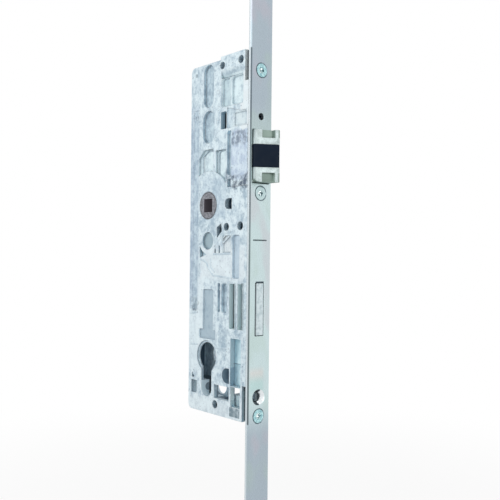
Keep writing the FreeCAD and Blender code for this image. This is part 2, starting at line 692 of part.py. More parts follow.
def case_cover():
    """The far casting, with the openings that go right through the lock."""
    solid = fuse("cover_solid", case_outline("cover", (COVER_INNER, COVER_OUTER)) + [
        block("cover_latch_box", (f"{LATCH_BACK} - latch_skin", CASE_FRONT), (COVER_INNER, LATCH_BOX),
              (f"{LATCH_BOTTOM} - running_gap - latch_skin", f"{LATCH_TOP} + running_gap + latch_skin")),
    ])
    through = (f"{COVER_INNER} - rib_wall", f"{COVER_OUTER} + rib_wall")
    outside = (f"{COVER_OUTER} - cover_pocket", f"{COVER_OUTER} + rib_wall")
    gone = cylinder_profile("cover_cylinder", *through) + [
        block("cover_latch_room", (f"{LATCH_BACK} - running_gap", f"{CASE_FRONT} + rib_wall"),
              (f"{COVER_INNER} - rib_wall", LATCH_ROOM),
              (f"{LATCH_BOTTOM} - running_gap", f"{LATCH_TOP} + running_gap")),
        rod("cover_hub_hole", "y", ("-backset", 0), "hub_radius + hub_fit", through),
        rod("cover_gear_seat", "y", (GEAR_PLACE, "gear_height"), "gear_pin_radius + pin_fit",
            (f"{COVER_INNER} - rib_wall", f"{COVER_INNER} + cover_thickness / 2")),
    ]
    for name in COVER_WINDOWS:
        x, z = edges_of(name)
        gone.append(block(name, x, through, z))
    for name in WINDOWS:
        if WINDOWS[name][-1]:
            x, z = edges_of(name)
            gone.append(rounded_block(f"cover_{name}", x, through, z, "y", SIZES[f"{name}_corner"],
                                      name in ROUND_BACKED))
    for name in ("tall_pocket", "long_groove", "top_pocket_front", "ribbed_pocket_front"):
        x, z = edges_of(name)
        gone.append(rounded_block(f"cover_{name}", x, outside, z, "y", SIZES[f"{name}_corner"]))
    for name in OBLONGS:
        x, z = edges_of(name)
        width = SIZES[f"{name}_front"] - SIZES[f"{name}_back"]
        gone.append(rounded_block(f"cover_{name}", x, outside, z, "y", OBLONG_ROUND * width))
    sink = f"{COVER_OUTER} - closing_head + closing_screw"
    for name in POSTS:
        place = (f"{name}_across", f"{name}_up")
        gone.append(rod(f"cover_{name}_bore", "y", place, "closing_screw + pin_fit", through))
        gone.append(rod(f"cover_{name}_sink", "y", place, "closing_screw + pin_fit", (sink, COVER_OUTER),
                        "closing_head + pin_fit"))
    node("case_cover", cut("case_cover", solid, gone))


def star_recess(name, centre_y, centre_z):
    """A six-lobed recess for the driver, sunk from the front of the faceplate."""
    span = ("-drive_depth", PAST)
    lobes = [rod(f"{name}_core", "x", (centre_y, centre_z), "drive_core + drive_lobe", span)]
    for turn in range(6):
        angle = 60 * turn
        place = (f"{centre_y} + (drive_core + drive_lobe) * cos({angle})",
                 f"{centre_z} + (drive_core + drive_lobe) * sin({angle})")
        lobes.append(rod(f"{name}_lobe_{turn}", "x", place, "drive_lobe", span))
    return lobes


def faceplate():
    """The long strip, with holes for screws, latch, deadbolt and cylinder screw."""
    half = "faceplate_width / 2"
    span = (f"{CASE_FRONT} - {PAST}", PAST)
    solid = rounded_block("strip", (CASE_FRONT, 0), (f"-{half}", half),
                          ("-faceplate_below", "faceplate_above"), "x", SIZES["faceplate_corner"])
    gone = [
        block("strip_latch_hole", span, (f"-{LATCH_ROOM}", LATCH_ROOM),
              (f"{LATCH_BOTTOM} - running_gap", f"{LATCH_TOP} + running_gap")),
        block("strip_bolt_hole", span,
              ("-deadbolt_thickness / 2 - running_gap", "deadbolt_thickness / 2 + running_gap"),
              (f"{BOLT_BOTTOM} - running_gap", f"{BOLT_TOP} + running_gap")),
        rod("strip_peep_hole", "x", (0, "peep_hole_height"), "peep_hole_radius", span),
        block("strip_mark", ("-mark_depth", PAST), ("-mark_length / 2", "mark_length / 2"),
              ("mark_height - mark_half", "mark_height + mark_half")),
        rod("strip_cylinder_hole", "x", (0, CYLINDER_SCREW), "cylinder_screw_hole", span),
        rod("strip_cylinder_sink", "x", (0, CYLINDER_SCREW), "cylinder_screw_hole",
            ("cylinder_screw_hole - cylinder_screw_sink", 0), "cylinder_screw_sink"),
    ]
    for name in ("top_screw", "middle_screw", "bottom_screw"):
        gone.append(rod(f"strip_{name}_hole", "x", (0, name), "screw_radius + pin_fit", span))
        gone.append(rod(f"strip_{name}_sink", "x", (0, name), "screw_radius + pin_fit",
                        ("screw_radius - screw_head", 0), "screw_head + screw_ring"))
    for name, place in (("upper", "faceplate_above - fixing_inset"),
                        ("lower", "-faceplate_below + fixing_inset")):
        gone.append(rod(f"strip_{name}_fixing", "x", (0, place), "fixing_radius", span))
        gone.append(rod(f"strip_{name}_fixing_sink", "x", (0, place), "fixing_radius",
                        ("fixing_radius - fixing_sink", 0), "fixing_sink"))
    node("faceplate", cut("faceplate", solid, gone))


def faceplate_screws():
    """Three countersunk screws that hold the case to the strip."""
    under_head = "screw_radius - screw_head"
    screws = []
    for name in ("top_screw", "middle_screw", "bottom_screw"):
        body = fuse(f"{name}_body", [
            rod(f"{name}_shank", "x", (0, name), "screw_radius", ("-screw_length", under_head)),
            rod(f"{name}_head", "x", (0, name), "screw_radius", (under_head, 0), "screw_head"),
        ])
        screws.append(cut(f"{name}_finished", body, star_recess(name, "0", name)))
    node("faceplate_screws", fuse("faceplate_screws", screws))


def case_screws():
    """The screws that close the case from the far side."""
    screws = []
    under_head = f"{COVER_OUTER} - closing_head + closing_screw"
    for name in POSTS:
        place = (f"{name}_across", f"{name}_up")
        body = fuse(f"{name}_screw_body", [
            rod(f"{name}_screw_shank", "y", place, "closing_screw",
                (f"{NEAR_OUTER} + end_recess_depth", under_head)),
            rod(f"{name}_screw_head", "y", place, "closing_screw", (under_head, COVER_OUTER), "closing_head"),
        ])
        cross = [
            block(f"{name}_cross_{wide}", (f"{name}_across - {wide}", f"{name}_across + {wide}"),
                  (f"{COVER_OUTER} - cross_depth", f"{COVER_OUTER} + {PAST}"),
                  (f"{name}_up - {tall}", f"{name}_up + {tall}"))
            for wide, tall in (("cross_reach", "cross_half"), ("cross_half", "cross_reach"))
        ]
        screws.append(cut(f"{name}_screw", body, cross))
    node("case_screws", fuse("case_screws", screws))


def guard_plate():
    """The steel plate behind the lower window, with the pinion's pin seated in it."""
    depth = (NEAR_INNER, f"{NEAR_INNER} + guard_thickness")
    solid = block("guard_blank", ("-guard_back", "-guard_front"), depth, ("guard_bottom", "guard_top"))
    gone = [
        rod("guard_pin_seat", "y", (GEAR_PLACE, "gear_height"), "gear_pin_radius + pin_fit",
            (f"{NEAR_INNER} + guard_thickness / 2", f"{NEAR_INNER} + guard_thickness + {PAST}")),
        block("guard_seam_line", (f"-guard_back - {PAST}", f"-guard_front + {PAST}"),
              (f"{NEAR_INNER} - {PAST}", f"{NEAR_INNER} + guard_seam_depth"),
              ("guard_seam - guard_seam_half", "guard_seam + guard_seam_half")),
    ]
    node("guard_plate", cut("guard_plate", solid, gone))
    node("gear_pin", rod("gear_pin", "y", (GEAR_PLACE, "gear_height"), "gear_pin_radius",
                         (f"{NEAR_INNER} + guard_thickness / 2", f"{COVER_INNER} + cover_thickness / 2")))


def detent_spring():
    """A leaf spring, held in a slot of the case, whose bump stands beside the slide's edge."""
    front = f"({DETENT_BACK} + detent_leaf)"
    bump = "(link_back - running_gap)"
    above, below = "deadbolt_pin_height + detent_bump", "deadbolt_pin_height - detent_bump"
    outline = [
        (DETENT_BACK, "slot_plate_bottom"), (front, "slot_plate_bottom"), (front, below),
        (bump, "deadbolt_pin_height"), (front, above), (front, DETENT_TOP), (DETENT_BACK, DETENT_TOP),
        (DETENT_BACK, above), (f"{bump} - detent_leaf", "deadbolt_pin_height"), (DETENT_BACK, below),
    ]
    node("detent_spring", plate("detent_spring", "y", outline, (SLIDE_NEAR, SLIDE_FAR)))


def follower():
    """The turning nut of the handle: hub, flange, latch arm and return lobe."""
    arm = (f"-{SHANK_HALF} + running_gap / 6", f"{SHANK_HALF} - running_gap / 6")
    tip = ("-backset + arm_length * sin(arm_lean)", "arm_length * cos(arm_lean)")
    lobe = ("-backset + lobe_distance * cos(arm_lean)", "-lobe_distance * sin(arm_lean)")
    solid = fuse("follower_solid", [
        rod("follower_hub", "y", ("-backset", 0), "hub_radius", (NEAR_OUTER, COVER_OUTER)),
        rod("follower_flange", "y", ("-backset", 0), "flange_radius", (f"-{SHANK_HALF}", SLIDE_FAR)),
        plate("follower_arm", "y", slant(("-backset", "0"), "arm_lean", "arm_length", "arm_width"), arm),
        rod("follower_tip", "y", tip, "arm_tip", arm),
        plate("follower_web", "y", slant(("-backset", "0"), "(90 + arm_lean)", "lobe_distance", "lobe_web"),
              (YOKE_NEAR, YOKE_FAR)),
        rod("follower_lobe", "y", lobe, "lobe_radius", (YOKE_NEAR, YOKE_FAR)),
    ])
    half = "spindle_square / 2"
    hole = block("follower_square", (f"-backset - {half}", f"-backset + {half}"),
                 (f"{NEAR_OUTER} - {PAST}", f"{COVER_OUTER} + {PAST}"), (f"-{half}", half))
    node("follower", cut("follower", solid, [hole]))


def bevel_point(share):
    """A point on the latch's slanted face, from its near edge (0) to the nose (1)."""
    return (f"latch_shoulder + {share} * (latch_reach - latch_nose - latch_shoulder)",
            f"-latch_width / 2 + {share} * (latch_width / 2 + latch_nose_half)")


def latch():
    """The latch bolt, its black insert, its tail and the pins that join them."""
    half = "latch_width / 2"
    head = plate("latch_head", "z", [
        ("-latch_inside", f"-{half}"), ("latch_shoulder", f"-{half}"), bevel_point(1),
        ("latch_reach", half), ("-latch_inside", half),
    ], (LATCH_BOTTOM, LATCH_TOP))
    low = "latch_centre - insert_height / 2"
    high = "latch_centre + insert_height / 2"
    inner, outer = bevel_point(NOTCH_START), bevel_point(NOTCH_END)
    notch = [inner, (f"{outer[0]} + beyond", inner[1]), (f"{outer[0]} + beyond", outer[1]),
             (f"{outer[0]} - notch_depth", outer[1]), (f"{inner[0]} - notch_depth / 3", inner[1])]
    pin_back = "-(latch_inside + shank_grip) / 2"
    gone = [
        block("latch_insert_groove", ("-insert_back", "beyond"), (f"-{half} - {PAST}", f"{half} + {PAST}"),
              (low, high)),
        rod("latch_spigot_hole", "x", (0, "latch_centre"), "insert_spigot + pin_fit",
            ("-insert_back - insert_peg - pin_fit", 0)),
        plate("latch_upper_notch", "z", notch, (f"{LATCH_TOP} - notch_height", f"{LATCH_TOP} + {PAST}")),
        plate("latch_lower_notch", "z", notch,
              (f"{LATCH_BOTTOM} - {PAST}", f"{LATCH_BOTTOM} + lower_notch_height")),
        plate("latch_corner_cut", "x", [
            (f"-{half} - {PAST}", f"{LATCH_BOTTOM} - {PAST}"),
            (f"-{half} + latch_corner", f"{LATCH_BOTTOM} - {PAST}"),
            (f"-{half} + latch_corner", LATCH_BOTTOM),
            (f"-{half} + latch_corner * {CORNER_BEND}", f"{LATCH_BOTTOM} + latch_corner * {CORNER_BEND}"),
            (f"-{half}", f"{LATCH_BOTTOM} + latch_corner"),
            (f"-{half} - {PAST}", f"{LATCH_BOTTOM} + latch_corner"),
        ], (0, "beyond")),
        block("latch_shank_slot", (f"-latch_inside - {PAST}", "-shank_grip"),
              (f"-{SHANK_HALF} - pin_fit", f"{SHANK_HALF} + pin_fit"),
              (f"{SHANK_LOW} - pin_fit", f"{SHANK_HIGH} + pin_fit")),
        rod("latch_pin_hole", "y", (pin_back, "shank_centre"), "cross_pin_radius + pin_fit",
            (f"-{half} - {PAST}", f"{half} + {PAST}")),
        rod("latch_guide_hole", "x", (0, SPRING_HEIGHT), "guide_radius + pin_fit",
            (f"-latch_inside - {PAST}", "-latch_inside + guide_grip")),
    ]
    node("latch_bolt", cut("latch_bolt", head, gone))

    shape = plate("insert_block", "z", [
        ("-insert_back", f"-{half}"), ("latch_shoulder", f"-{half}"),
        (f"{bevel_point(1)[0]} - insert_inset", bevel_point(1)[1]), ("latch_reach - insert_inset", half),
        ("-insert_back", half),
    ], (low, high))
    spigot = rod("insert_peg", "x", (0, "latch_centre"), "insert_spigot",
                 ("-insert_back - insert_peg", "-insert_back"))
    node("latch_insert", fuse("latch_insert", [shape, spigot]))

    hook_front = "(-backset + arm_length * sin(arm_lean) - arm_tip - running_gap)"
    tail = plate("shank_blank", "y", [
        (f"{hook_front} - hook_width", SHANK_HIGH), (f"{hook_front} - hook_width", "hook_drop"),
        (hook_front, "hook_drop"), (hook_front, SHANK_LOW), ("-shank_grip - shank_play", SHANK_LOW),
        ("-shank_grip - shank_play", SHANK_HIGH),
    ], (f"-{SHANK_HALF}", SHANK_HALF))
    node("latch_shank", cut("latch_shank", tail, [
        rod("shank_pin_hole", "y", (pin_back, "shank_centre"), "cross_pin_radius + pin_fit",
            ("-beyond", "beyond")),
    ]))
    node("latch_cross_pin", rod("latch_cross_pin", "y", (pin_back, "shank_centre"), "cross_pin_radius",
                                (f"-{half} + shank_play", f"{half} - shank_play")))
    pin_front = "-latch_inside + guide_grip - shank_play"
    node("latch_guide_pin", rod("latch_guide_pin", "x", (0, SPRING_HEIGHT), "guide_radius",
                                (f"{pin_front} - guide_length", pin_front)))


def coil_spring(label, start, along, radius, length, turns):
    """A closed helical wire from one end to the other, with its least gap to itself printed."""
    quarter = 4
    steps = turns * quarter
    wire = SIZES["spring_wire"]
    seating = SIZES["spring_seating"]
    free = length - wire - 2 * seating
    side, up = [axis for axis in AXES if axis != along]

    def place(step):
        angle = 2 * math.pi * step / quarter
        at = {along: start[AXES.index(along)] + seating + wire / 2 + free * step / steps,
              side: start[AXES.index(side)] + radius * math.cos(angle),
              up: start[AXES.index(up)] + radius * math.sin(angle)}
        return FreeCAD.Vector(at["x"], at["y"], at["z"])

    path = Part.Wire([
        Part.Arc(place(step), place(step + 0.5), place(step + 1)).toShape() for step in range(steps)
    ])
    first = path.Edges[0]
    section = Part.Wire([Part.Circle(place(0), first.tangentAt(first.FirstParameter), wire / 2).toShape()])
    spring = doc.addObject("Part::Feature", label)
    spring.Shape = path.makePipeShell([section], True, False)
    print(f"{label}: least gap between turns {free / turns - wire:.2f} mm")
    node(label, spring)


def return_gear():
    """The yoke that turns the follower back, and the two springs."""
    left = ("-backset - yoke_clear - yoke_leg", "-backset - yoke_clear")
    right = ("-backset + yoke_clear", "-backset + yoke_clear + yoke_leg")
    bar = ("yoke_bar_bottom", "yoke_bar_bottom + yoke_bar_height")
    depth = (YOKE_NEAR, YOKE_FAR)
    node("return_yoke", fuse("return_yoke", [
        block("yoke_left", left, depth, (YOKE_FOOT, bar[1])),
        block("yoke_right", right, depth, (YOKE_FOOT, bar[1])),
        block("yoke_bar", (left[0], right[1]), depth, bar),
        block("yoke_seat", ("-backset - yoke_seat_half", "-backset + yoke_seat_half"),
              (YOKE_NEAR, f"{SLIDE_FAR} - rib_wall / 3"), (bar[1], f"{bar[1]} + yoke_seat_height")),
    ]))
    seat = SIZES["yoke_bar_bottom"] + SIZES["yoke_bar_height"] + SIZES["yoke_seat_height"]
    coil_spring("follower_spring", (-SIZES["backset"], SIZES["return_spring_offset"], seat), "z",
                SIZES["return_spring_radius"], SIZES["return_spring_length"], SIZES["return_spring_turns"])
    stop = SIZES["latch_spring_room"] - SIZES["backset"]
    height = SIZES["shank_centre"] + SIZES["latch_spring_height"]
    coil_spring("latch_spring", (stop, 0, height), "x", SIZES["latch_spring_radius"],
                -SIZES["latch_inside"] - stop, SIZES["latch_spring_turns"])


def drive():
    """The slide with its rack and slanted slot, its two forks and their rivets."""
    depth = (SLIDE_NEAR, SLIDE_FAR)
    sheet_outline = [
        (FORK_FRONT, "upper_fork_top"), (FORK_FRONT, "jog_bottom"), (LINK_FRONT, "jog_bottom"),
        (LINK_FRONT, "slot_plate_top"), (FORK_FRONT, "slot_plate_top"), (FORK_FRONT, "lower_fork_bottom"),
        (FORK_BACK, "lower_fork_bottom"), (FORK_BACK, "slot_plate_bottom"),
        ("link_back", "slot_plate_bottom"), ("link_back", "jog_bottom + jog_height"),
        (FORK_BACK, "jog_bottom + jog_height"), (FORK_BACK, "upper_fork_top"),
    ]
    parts = [plate("slide_blank", "y", sheet_outline, depth)]
    pitch = f"({math.pi} * gear_module)"
    tip, root = "(-rack_pitch_line - gear_module)", f"{FORK_BACK} + {RACK_SUNK}"
    teeth = math.ceil((SIZES["slide_travel"] + RACK_SPARE) / (math.pi * SIZES["gear_module"]))
    for tooth in range(teeth):
        middle = f"(gear_height + {pitch} / 2 + {pitch} * {tooth - teeth + 2})"
        wide, narrow = (f"{pitch} * {RACK_TOOTH[part]}" for part in ("root", "tip"))
        parts.append(plate(f"rack_tooth_{tooth}", "y", [
            (root, f"{middle} + {wide}"), (tip, f"{middle} + {narrow}"),
            (tip, f"{middle} - {narrow}"), (root, f"{middle} - {wide}"),
        ], depth))
    start = ("-deadbolt_pin_back", "deadbolt_pin_height")
    end = ("-deadbolt_pin_back + deadbolt_throw", "deadbolt_pin_height - slide_travel")
    slot = "(deadbolt_pin_radius + running_gap / 2)"
    lean = "(90 deg + atan(slide_travel / deadbolt_throw))"
    reach = "sqrt(slide_travel * slide_travel + deadbolt_throw * deadbolt_throw)"
    through = (f"{SLIDE_NEAR} - {PAST}", f"{SLIDE_FAR} + {PAST}")
    gone = [
        rod("slot_start", "y", start, slot, through),
        rod("slot_end", "y", end, slot, through),
        plate("slot_run", "y", slant(start, lean, reach, f"2 * {slot}"), through),
    ]
    rivets = []
    for name, height in (("upper_a", "upper_fork_top - rivet_inset"),
                         ("upper_b", "upper_fork_top - rivet_inset - rivet_spacing"),
                         ("lower_a", "lower_fork_bottom + lower_fork_length - rivet_inset"),
                         ("lower_b", "lower_fork_bottom + rivet_foot")):
        place = (f"({FORK_FRONT} + {FORK_BACK}) / 2", height)
        gone.append(rod(f"slide_hole_{name}", "y", place, "rivet_radius + pin_fit", through))
        rivets.append((name, place))
    node("drive_slide", cut("drive_slide", fuse("slide_solid", parts), gone))

    for name, low, high, crotch, marks in (
            ("upper_coupling", "upper_fork_top - upper_fork_length", "upper_fork_top",
             "top_screw + screw_radius + 2 * running_gap", ("upper_a", "upper_b")),
            ("lower_coupling", "lower_fork_bottom", "lower_fork_bottom + lower_fork_length",
             "lower_fork_bottom + lower_fork_length - fork_bridge", ("lower_a", "lower_b"))):
        blank = block(f"{name}_blank", (FORK_BACK, FORK_FRONT), ("-fork_near", SLIDE_NEAR), (low, high))
        tools = [block(f"{name}_gap", (f"{FORK_BACK} - {PAST}", f"{FORK_FRONT} + {PAST}"),
                       ("-fork_gap", "fork_gap"), (f"{low} - {PAST}", crotch))]
        for mark, place in rivets:
            if mark in marks:
                tools.append(rod(f"{name}_{mark}", "y", place, "rivet_radius + pin_fit",
                                 ("fork_gap - rivet_room", f"{SLIDE_NEAR} + {PAST}")))
        node(name, cut(name, blank, tools))
    node("coupling_rivets", fuse("coupling_rivets", [
        rod(f"rivet_{name}", "y", place, "rivet_radius", ("fork_gap", SLIDE_FAR)) for name, place in rivets
    ]))


def key_gear():
    """The pinion, a body of its own whose tooth is repeated round its axis."""
    module, teeth = SIZES["gear_module"], SIZES["gear_teeth"]
    body = doc.addObject("PartDesign::Body", "key_gear")
    plane = next(item for item in body.Origin.OriginFeatures if item.Role == "XZ_Plane")
    axis = next(item for item in body.Origin.OriginFeatures if item.Role == "Y_Axis")
    near = f"({NEAR_INNER} + guard_thickness + gear_gap)"
    width = formula(f"{SLIDE_FAR} - {near}")

    round_sketch = body.newObject("Sketcher::SketchObject", "gear_round")
    round_sketch.AttachmentSupport = (plane, [""])
    round_sketch.MapMode = "FlatFace"
    core_radius = f"gear_module * (gear_teeth / 2 - {DEDENDUM})"
    for number, radius in enumerate((core_radius, "gear_pin_radius + pin_fit")):
        first_guess = module * teeth / (2 + number)
        round_sketch.addGeometry(Part.Circle(FreeCAD.Vector(), FreeCAD.Vector(0, 0, 1), first_guess))
        round_sketch.addConstraint(Sketcher.Constraint("Coincident", number, 3, -1, 1))
        place = round_sketch.addConstraint(Sketcher.Constraint("Radius", number, first_guess))
        round_sketch.setExpression(f"Constraints[{place}]", formula(radius))
    core = body.newObject("PartDesign::Pad", "gear_core")
    core.Profile = round_sketch
    core.Reversed = True
    core.setExpression("Length", width)
    doc.recompute()

    tooth_sketch = body.newObject("Sketcher::SketchObject", "gear_tooth_outline")
    tooth_sketch.AttachmentSupport = (plane, [""])
    tooth_sketch.MapMode = "FlatFace"
    pitch = math.pi * module
    play = SIZES["gear_backlash"] / 2
    radii = (module * (teeth / 2 - TOOTH_SUNK), module * teeth / 2, module * (teeth / 2 + ADDENDUM))
    halves = (pitch * GEAR_TOOTH["root"] - play, pitch * GEAR_TOOTH["middle"] - play,
              pitch * GEAR_TOOTH["tip"] - play / 2)
    outline = [FreeCAD.Vector(radius, -half) for radius, half in zip(radii, halves)]
    outline += [FreeCAD.Vector(corner.x, -corner.y) for corner in reversed(outline)]
    for number, corner in enumerate(outline):
        tooth_sketch.addGeometry(Part.LineSegment(corner, outline[(number + 1) % len(outline)]))
    for number in range(len(outline)):
        following = (number + 1) % len(outline)
        tooth_sketch.addConstraint(Sketcher.Constraint("Coincident", number, 2, following, 1))
    tooth = body.newObject("PartDesign::Pad", "gear_tooth")
    tooth.Profile = tooth_sketch
    tooth.Reversed = True
    tooth.setExpression("Length", width)
    doc.recompute()

    ring = body.newObject("PartDesign::PolarPattern", "gear_ring")
    ring.Originals = [tooth]
    ring.Axis = (axis, [""])
    ring.Angle = 360
    ring.setExpression("Occurrences", formula("gear_teeth"))
    body.Tip = ring
    body.setExpression("Placement.Base.x", formula(GEAR_PLACE))
    body.setExpression("Placement.Base.y", formula(near))
    body.setExpression("Placement.Base.z", formula("gear_height"))
    node("key_gear", body)


def deadbolt():
    """The deadbolt with its tail, and the pin that runs in the slide's slot."""
    half = "deadbolt_thickness / 2"
    solid = fuse("deadbolt_solid", [
        rounded_block("deadbolt_head", ("-deadbolt_length", 0), (f"-{half}", half), (BOLT_BOTTOM, BOLT_TOP),
                      "x", SIZES["deadbolt_edge"]),
        block("deadbolt_back", ("-deadbolt_length - deadbolt_tail", "-deadbolt_length"), (f"-{half}", half),
              ("deadbolt_centre - deadbolt_tail_height / 2", "deadbolt_centre + deadbolt_tail_height / 2")),
    ])
    place = ("-deadbolt_pin_back", "deadbolt_pin_height")
    node("deadbolt", cut("deadbolt", solid, [
        rod("deadbolt_pin_hole", "y", place, "deadbolt_pin_radius + pin_fit",
            (f"-{half} - {PAST}", f"{half} + {PAST}")),
    ]))
    node("deadbolt_pin", rod("deadbolt_pin", "y", place, "deadbolt_pin_radius",
                             (f"-{half} + shank_play", SLIDE_FAR)))


for build in (lock_case, case_cover, faceplate, faceplate_screws, case_screws, guard_plate, detent_spring,
              follower, latch, return_gear, drive, key_gear, deadbolt):
    build()
doc.recompute()

faults = [item.Name for item in doc.Objects if "Invalid" in item.State or "Error" in item.State]
faults += [solid.Label for solid in nodes if solid.Shape.isNull() or not solid.Shape.isValid()]
if faults:
    raise SystemExit(f"these objects failed: {faults}")

os.makedirs("parts", exist_ok=True)
for solid in nodes:
    solid.Shape.exportStep(f"parts/{solid.Label}.step")
    print(f"{solid.Label}: {len(solid.Shape.Solids)} solid(s), {solid.Shape.Volume:.0f} mm3")
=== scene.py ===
"""Looks for a multipoint mortice door lock, dressed round its fixed mechanical frame.

Everything is in metres in the frame of the mechanical model: X = 0 is the front of the
faceplate, Y = 0 the middle of the lock's thickness, Z = 0 the height of the spindle.
Sizes in the classes are in millimetres where their names end in _mm, and so are places,
limits and blotch sizes in the finishes. Colours are written as they look on screen.
"""
import json
import logging
import math
from dataclasses import dataclass
from enum import Enum

import bmesh
import bpy
from mathutils import Matrix, Vector


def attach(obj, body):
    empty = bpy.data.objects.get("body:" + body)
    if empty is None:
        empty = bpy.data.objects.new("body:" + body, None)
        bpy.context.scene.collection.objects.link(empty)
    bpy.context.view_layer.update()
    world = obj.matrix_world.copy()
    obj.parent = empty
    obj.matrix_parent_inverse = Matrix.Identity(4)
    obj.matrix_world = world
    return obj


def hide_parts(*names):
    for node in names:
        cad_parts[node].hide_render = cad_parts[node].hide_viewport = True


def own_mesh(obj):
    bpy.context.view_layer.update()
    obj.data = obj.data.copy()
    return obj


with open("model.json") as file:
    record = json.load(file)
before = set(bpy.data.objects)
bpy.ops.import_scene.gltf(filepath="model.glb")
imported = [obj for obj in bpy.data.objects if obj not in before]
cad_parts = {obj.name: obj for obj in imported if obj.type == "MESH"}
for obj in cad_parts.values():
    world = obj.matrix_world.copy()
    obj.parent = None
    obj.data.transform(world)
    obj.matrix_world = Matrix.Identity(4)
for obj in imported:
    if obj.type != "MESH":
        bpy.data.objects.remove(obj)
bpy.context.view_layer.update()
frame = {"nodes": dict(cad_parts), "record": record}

MM = 0.001
X, Y, Z = 0, 1, 2
SCREWS_MM = (76.5, 5.6, -122.5)
Colour = tuple[float, float, float]
Triple = tuple[float, float, float]
Pair = tuple[float, float]
Socket = bpy.types.NodeSocket
log = logging.getLogger("door_lock")


class Slot(Enum):
    """The record's material slots."""

    CASE_ZINC = "case_zinc"
    PLATED_STEEL = "plated_steel"
    SCREW_STEEL = "screw_steel"
    LATCH_METAL = "latch_metal"
    BLACK_PLASTIC = "black_plastic"
    HUB_STEEL = "hub_steel"
    INNER_STEEL = "inner_steel"
    BOLT_STEEL = "bolt_steel"
    SPRING_WIRE = "spring_wire"


class Grain(Enum):
    """Which way the fine lines of a rolled or ground surface run."""

    ALONG_Z = (1.0, 1.0, 0.03)
    NONE = (1.0, 1.0, 1.0)


def in_metres(place_mm: tuple[float, ...]) -> tuple[float, ...]:
    """A place or size in metres."""
    return tuple(value * MM for value in place_mm)


def in_linear_light(colour: Colour) -> tuple[float, ...]:
    """A colour's red, green and blue on screen, turned into linear light with full cover."""
    knee, slope, lift, gamma = 0.04045, 12.92, 0.055, 2.4
    return (*(level / slope if level <= knee else ((level + lift) / (1.0 + lift)) ** gamma
              for level in colour), 1.0)


def in_scene(name: str, data: bpy.types.ID) -> bpy.types.Object:
    """Place a new object in the scene.

    Args:
        name: The object's name.
        data: Its mesh, camera or lamp.

    Returns:
        The object.
    """
    item = bpy.data.objects.new(name, data)
    bpy.context.scene.collection.objects.link(item)
    return item


@dataclass(frozen=True)
class Signal:
    """A number or colour that flows through a finish's node tree, open to plain arithmetic."""

    net: "Net"
    socket: Socket

    def __add__(self, other: object) -> "Signal":
        """The sum with another number."""
        return self.net.math("ADD", self, other)

    def __sub__(self, other: object) -> "Signal":
        """The difference from another number."""
        return self.net.math("SUBTRACT", self, other)

    def __mul__(self, other: object) -> "Signal":
        """The product with another number."""
        return self.net.math("MULTIPLY", self, other)

    def __pow__(self, other: float) -> "Signal":
        """This number to a power."""
        return self.net.math("POWER", self, other)

    def __or__(self, other: object) -> "Signal":
        """The larger of two numbers, which joins two masks."""
        return self.net.math("MAXIMUM", self, other)

    def __abs__(self) -> "Signal":
        """This number without its sign."""
        return self.net.math("ABSOLUTE", self)


class Tree:
    """A node tree, with one call that adds a node, sets it and joins it."""

    def __init__(self, tree: bpy.types.NodeTree) -> None:
        """Take an empty tree to put nodes in."""
        self.tree = tree

    def feed(self, socket: Socket, value: object) -> None:
        """Join or set an input.

        Args:
            socket: The input.
            value: A signal or output to join, or a value to set, which for a colour is as on screen.
        """
        value = value.socket if isinstance(value, Signal) else value
        if isinstance(value, Socket):
            self.tree.links.new(value, socket)
        else:
            socket.default_value = in_linear_light(value) if socket.type == "RGBA" else value

    def node(self, kind: str, inputs: dict[str | int, object] | None = None,
             **settings: object) -> bpy.types.bpy_prop_collection:
        """Add a node.

        Args:
            kind: The node's type.
            inputs: Its inputs by name or number, each to be joined or set.
            **settings: Its own properties.

        Returns:
            The node's outputs.
        """
        node = self.tree.nodes.new(kind)
        for name, value in settings.items():
            setattr(node, name, value)
        for key, value in (inputs or {}).items():
            self.feed(node.inputs[key], value)
        return node.outputs


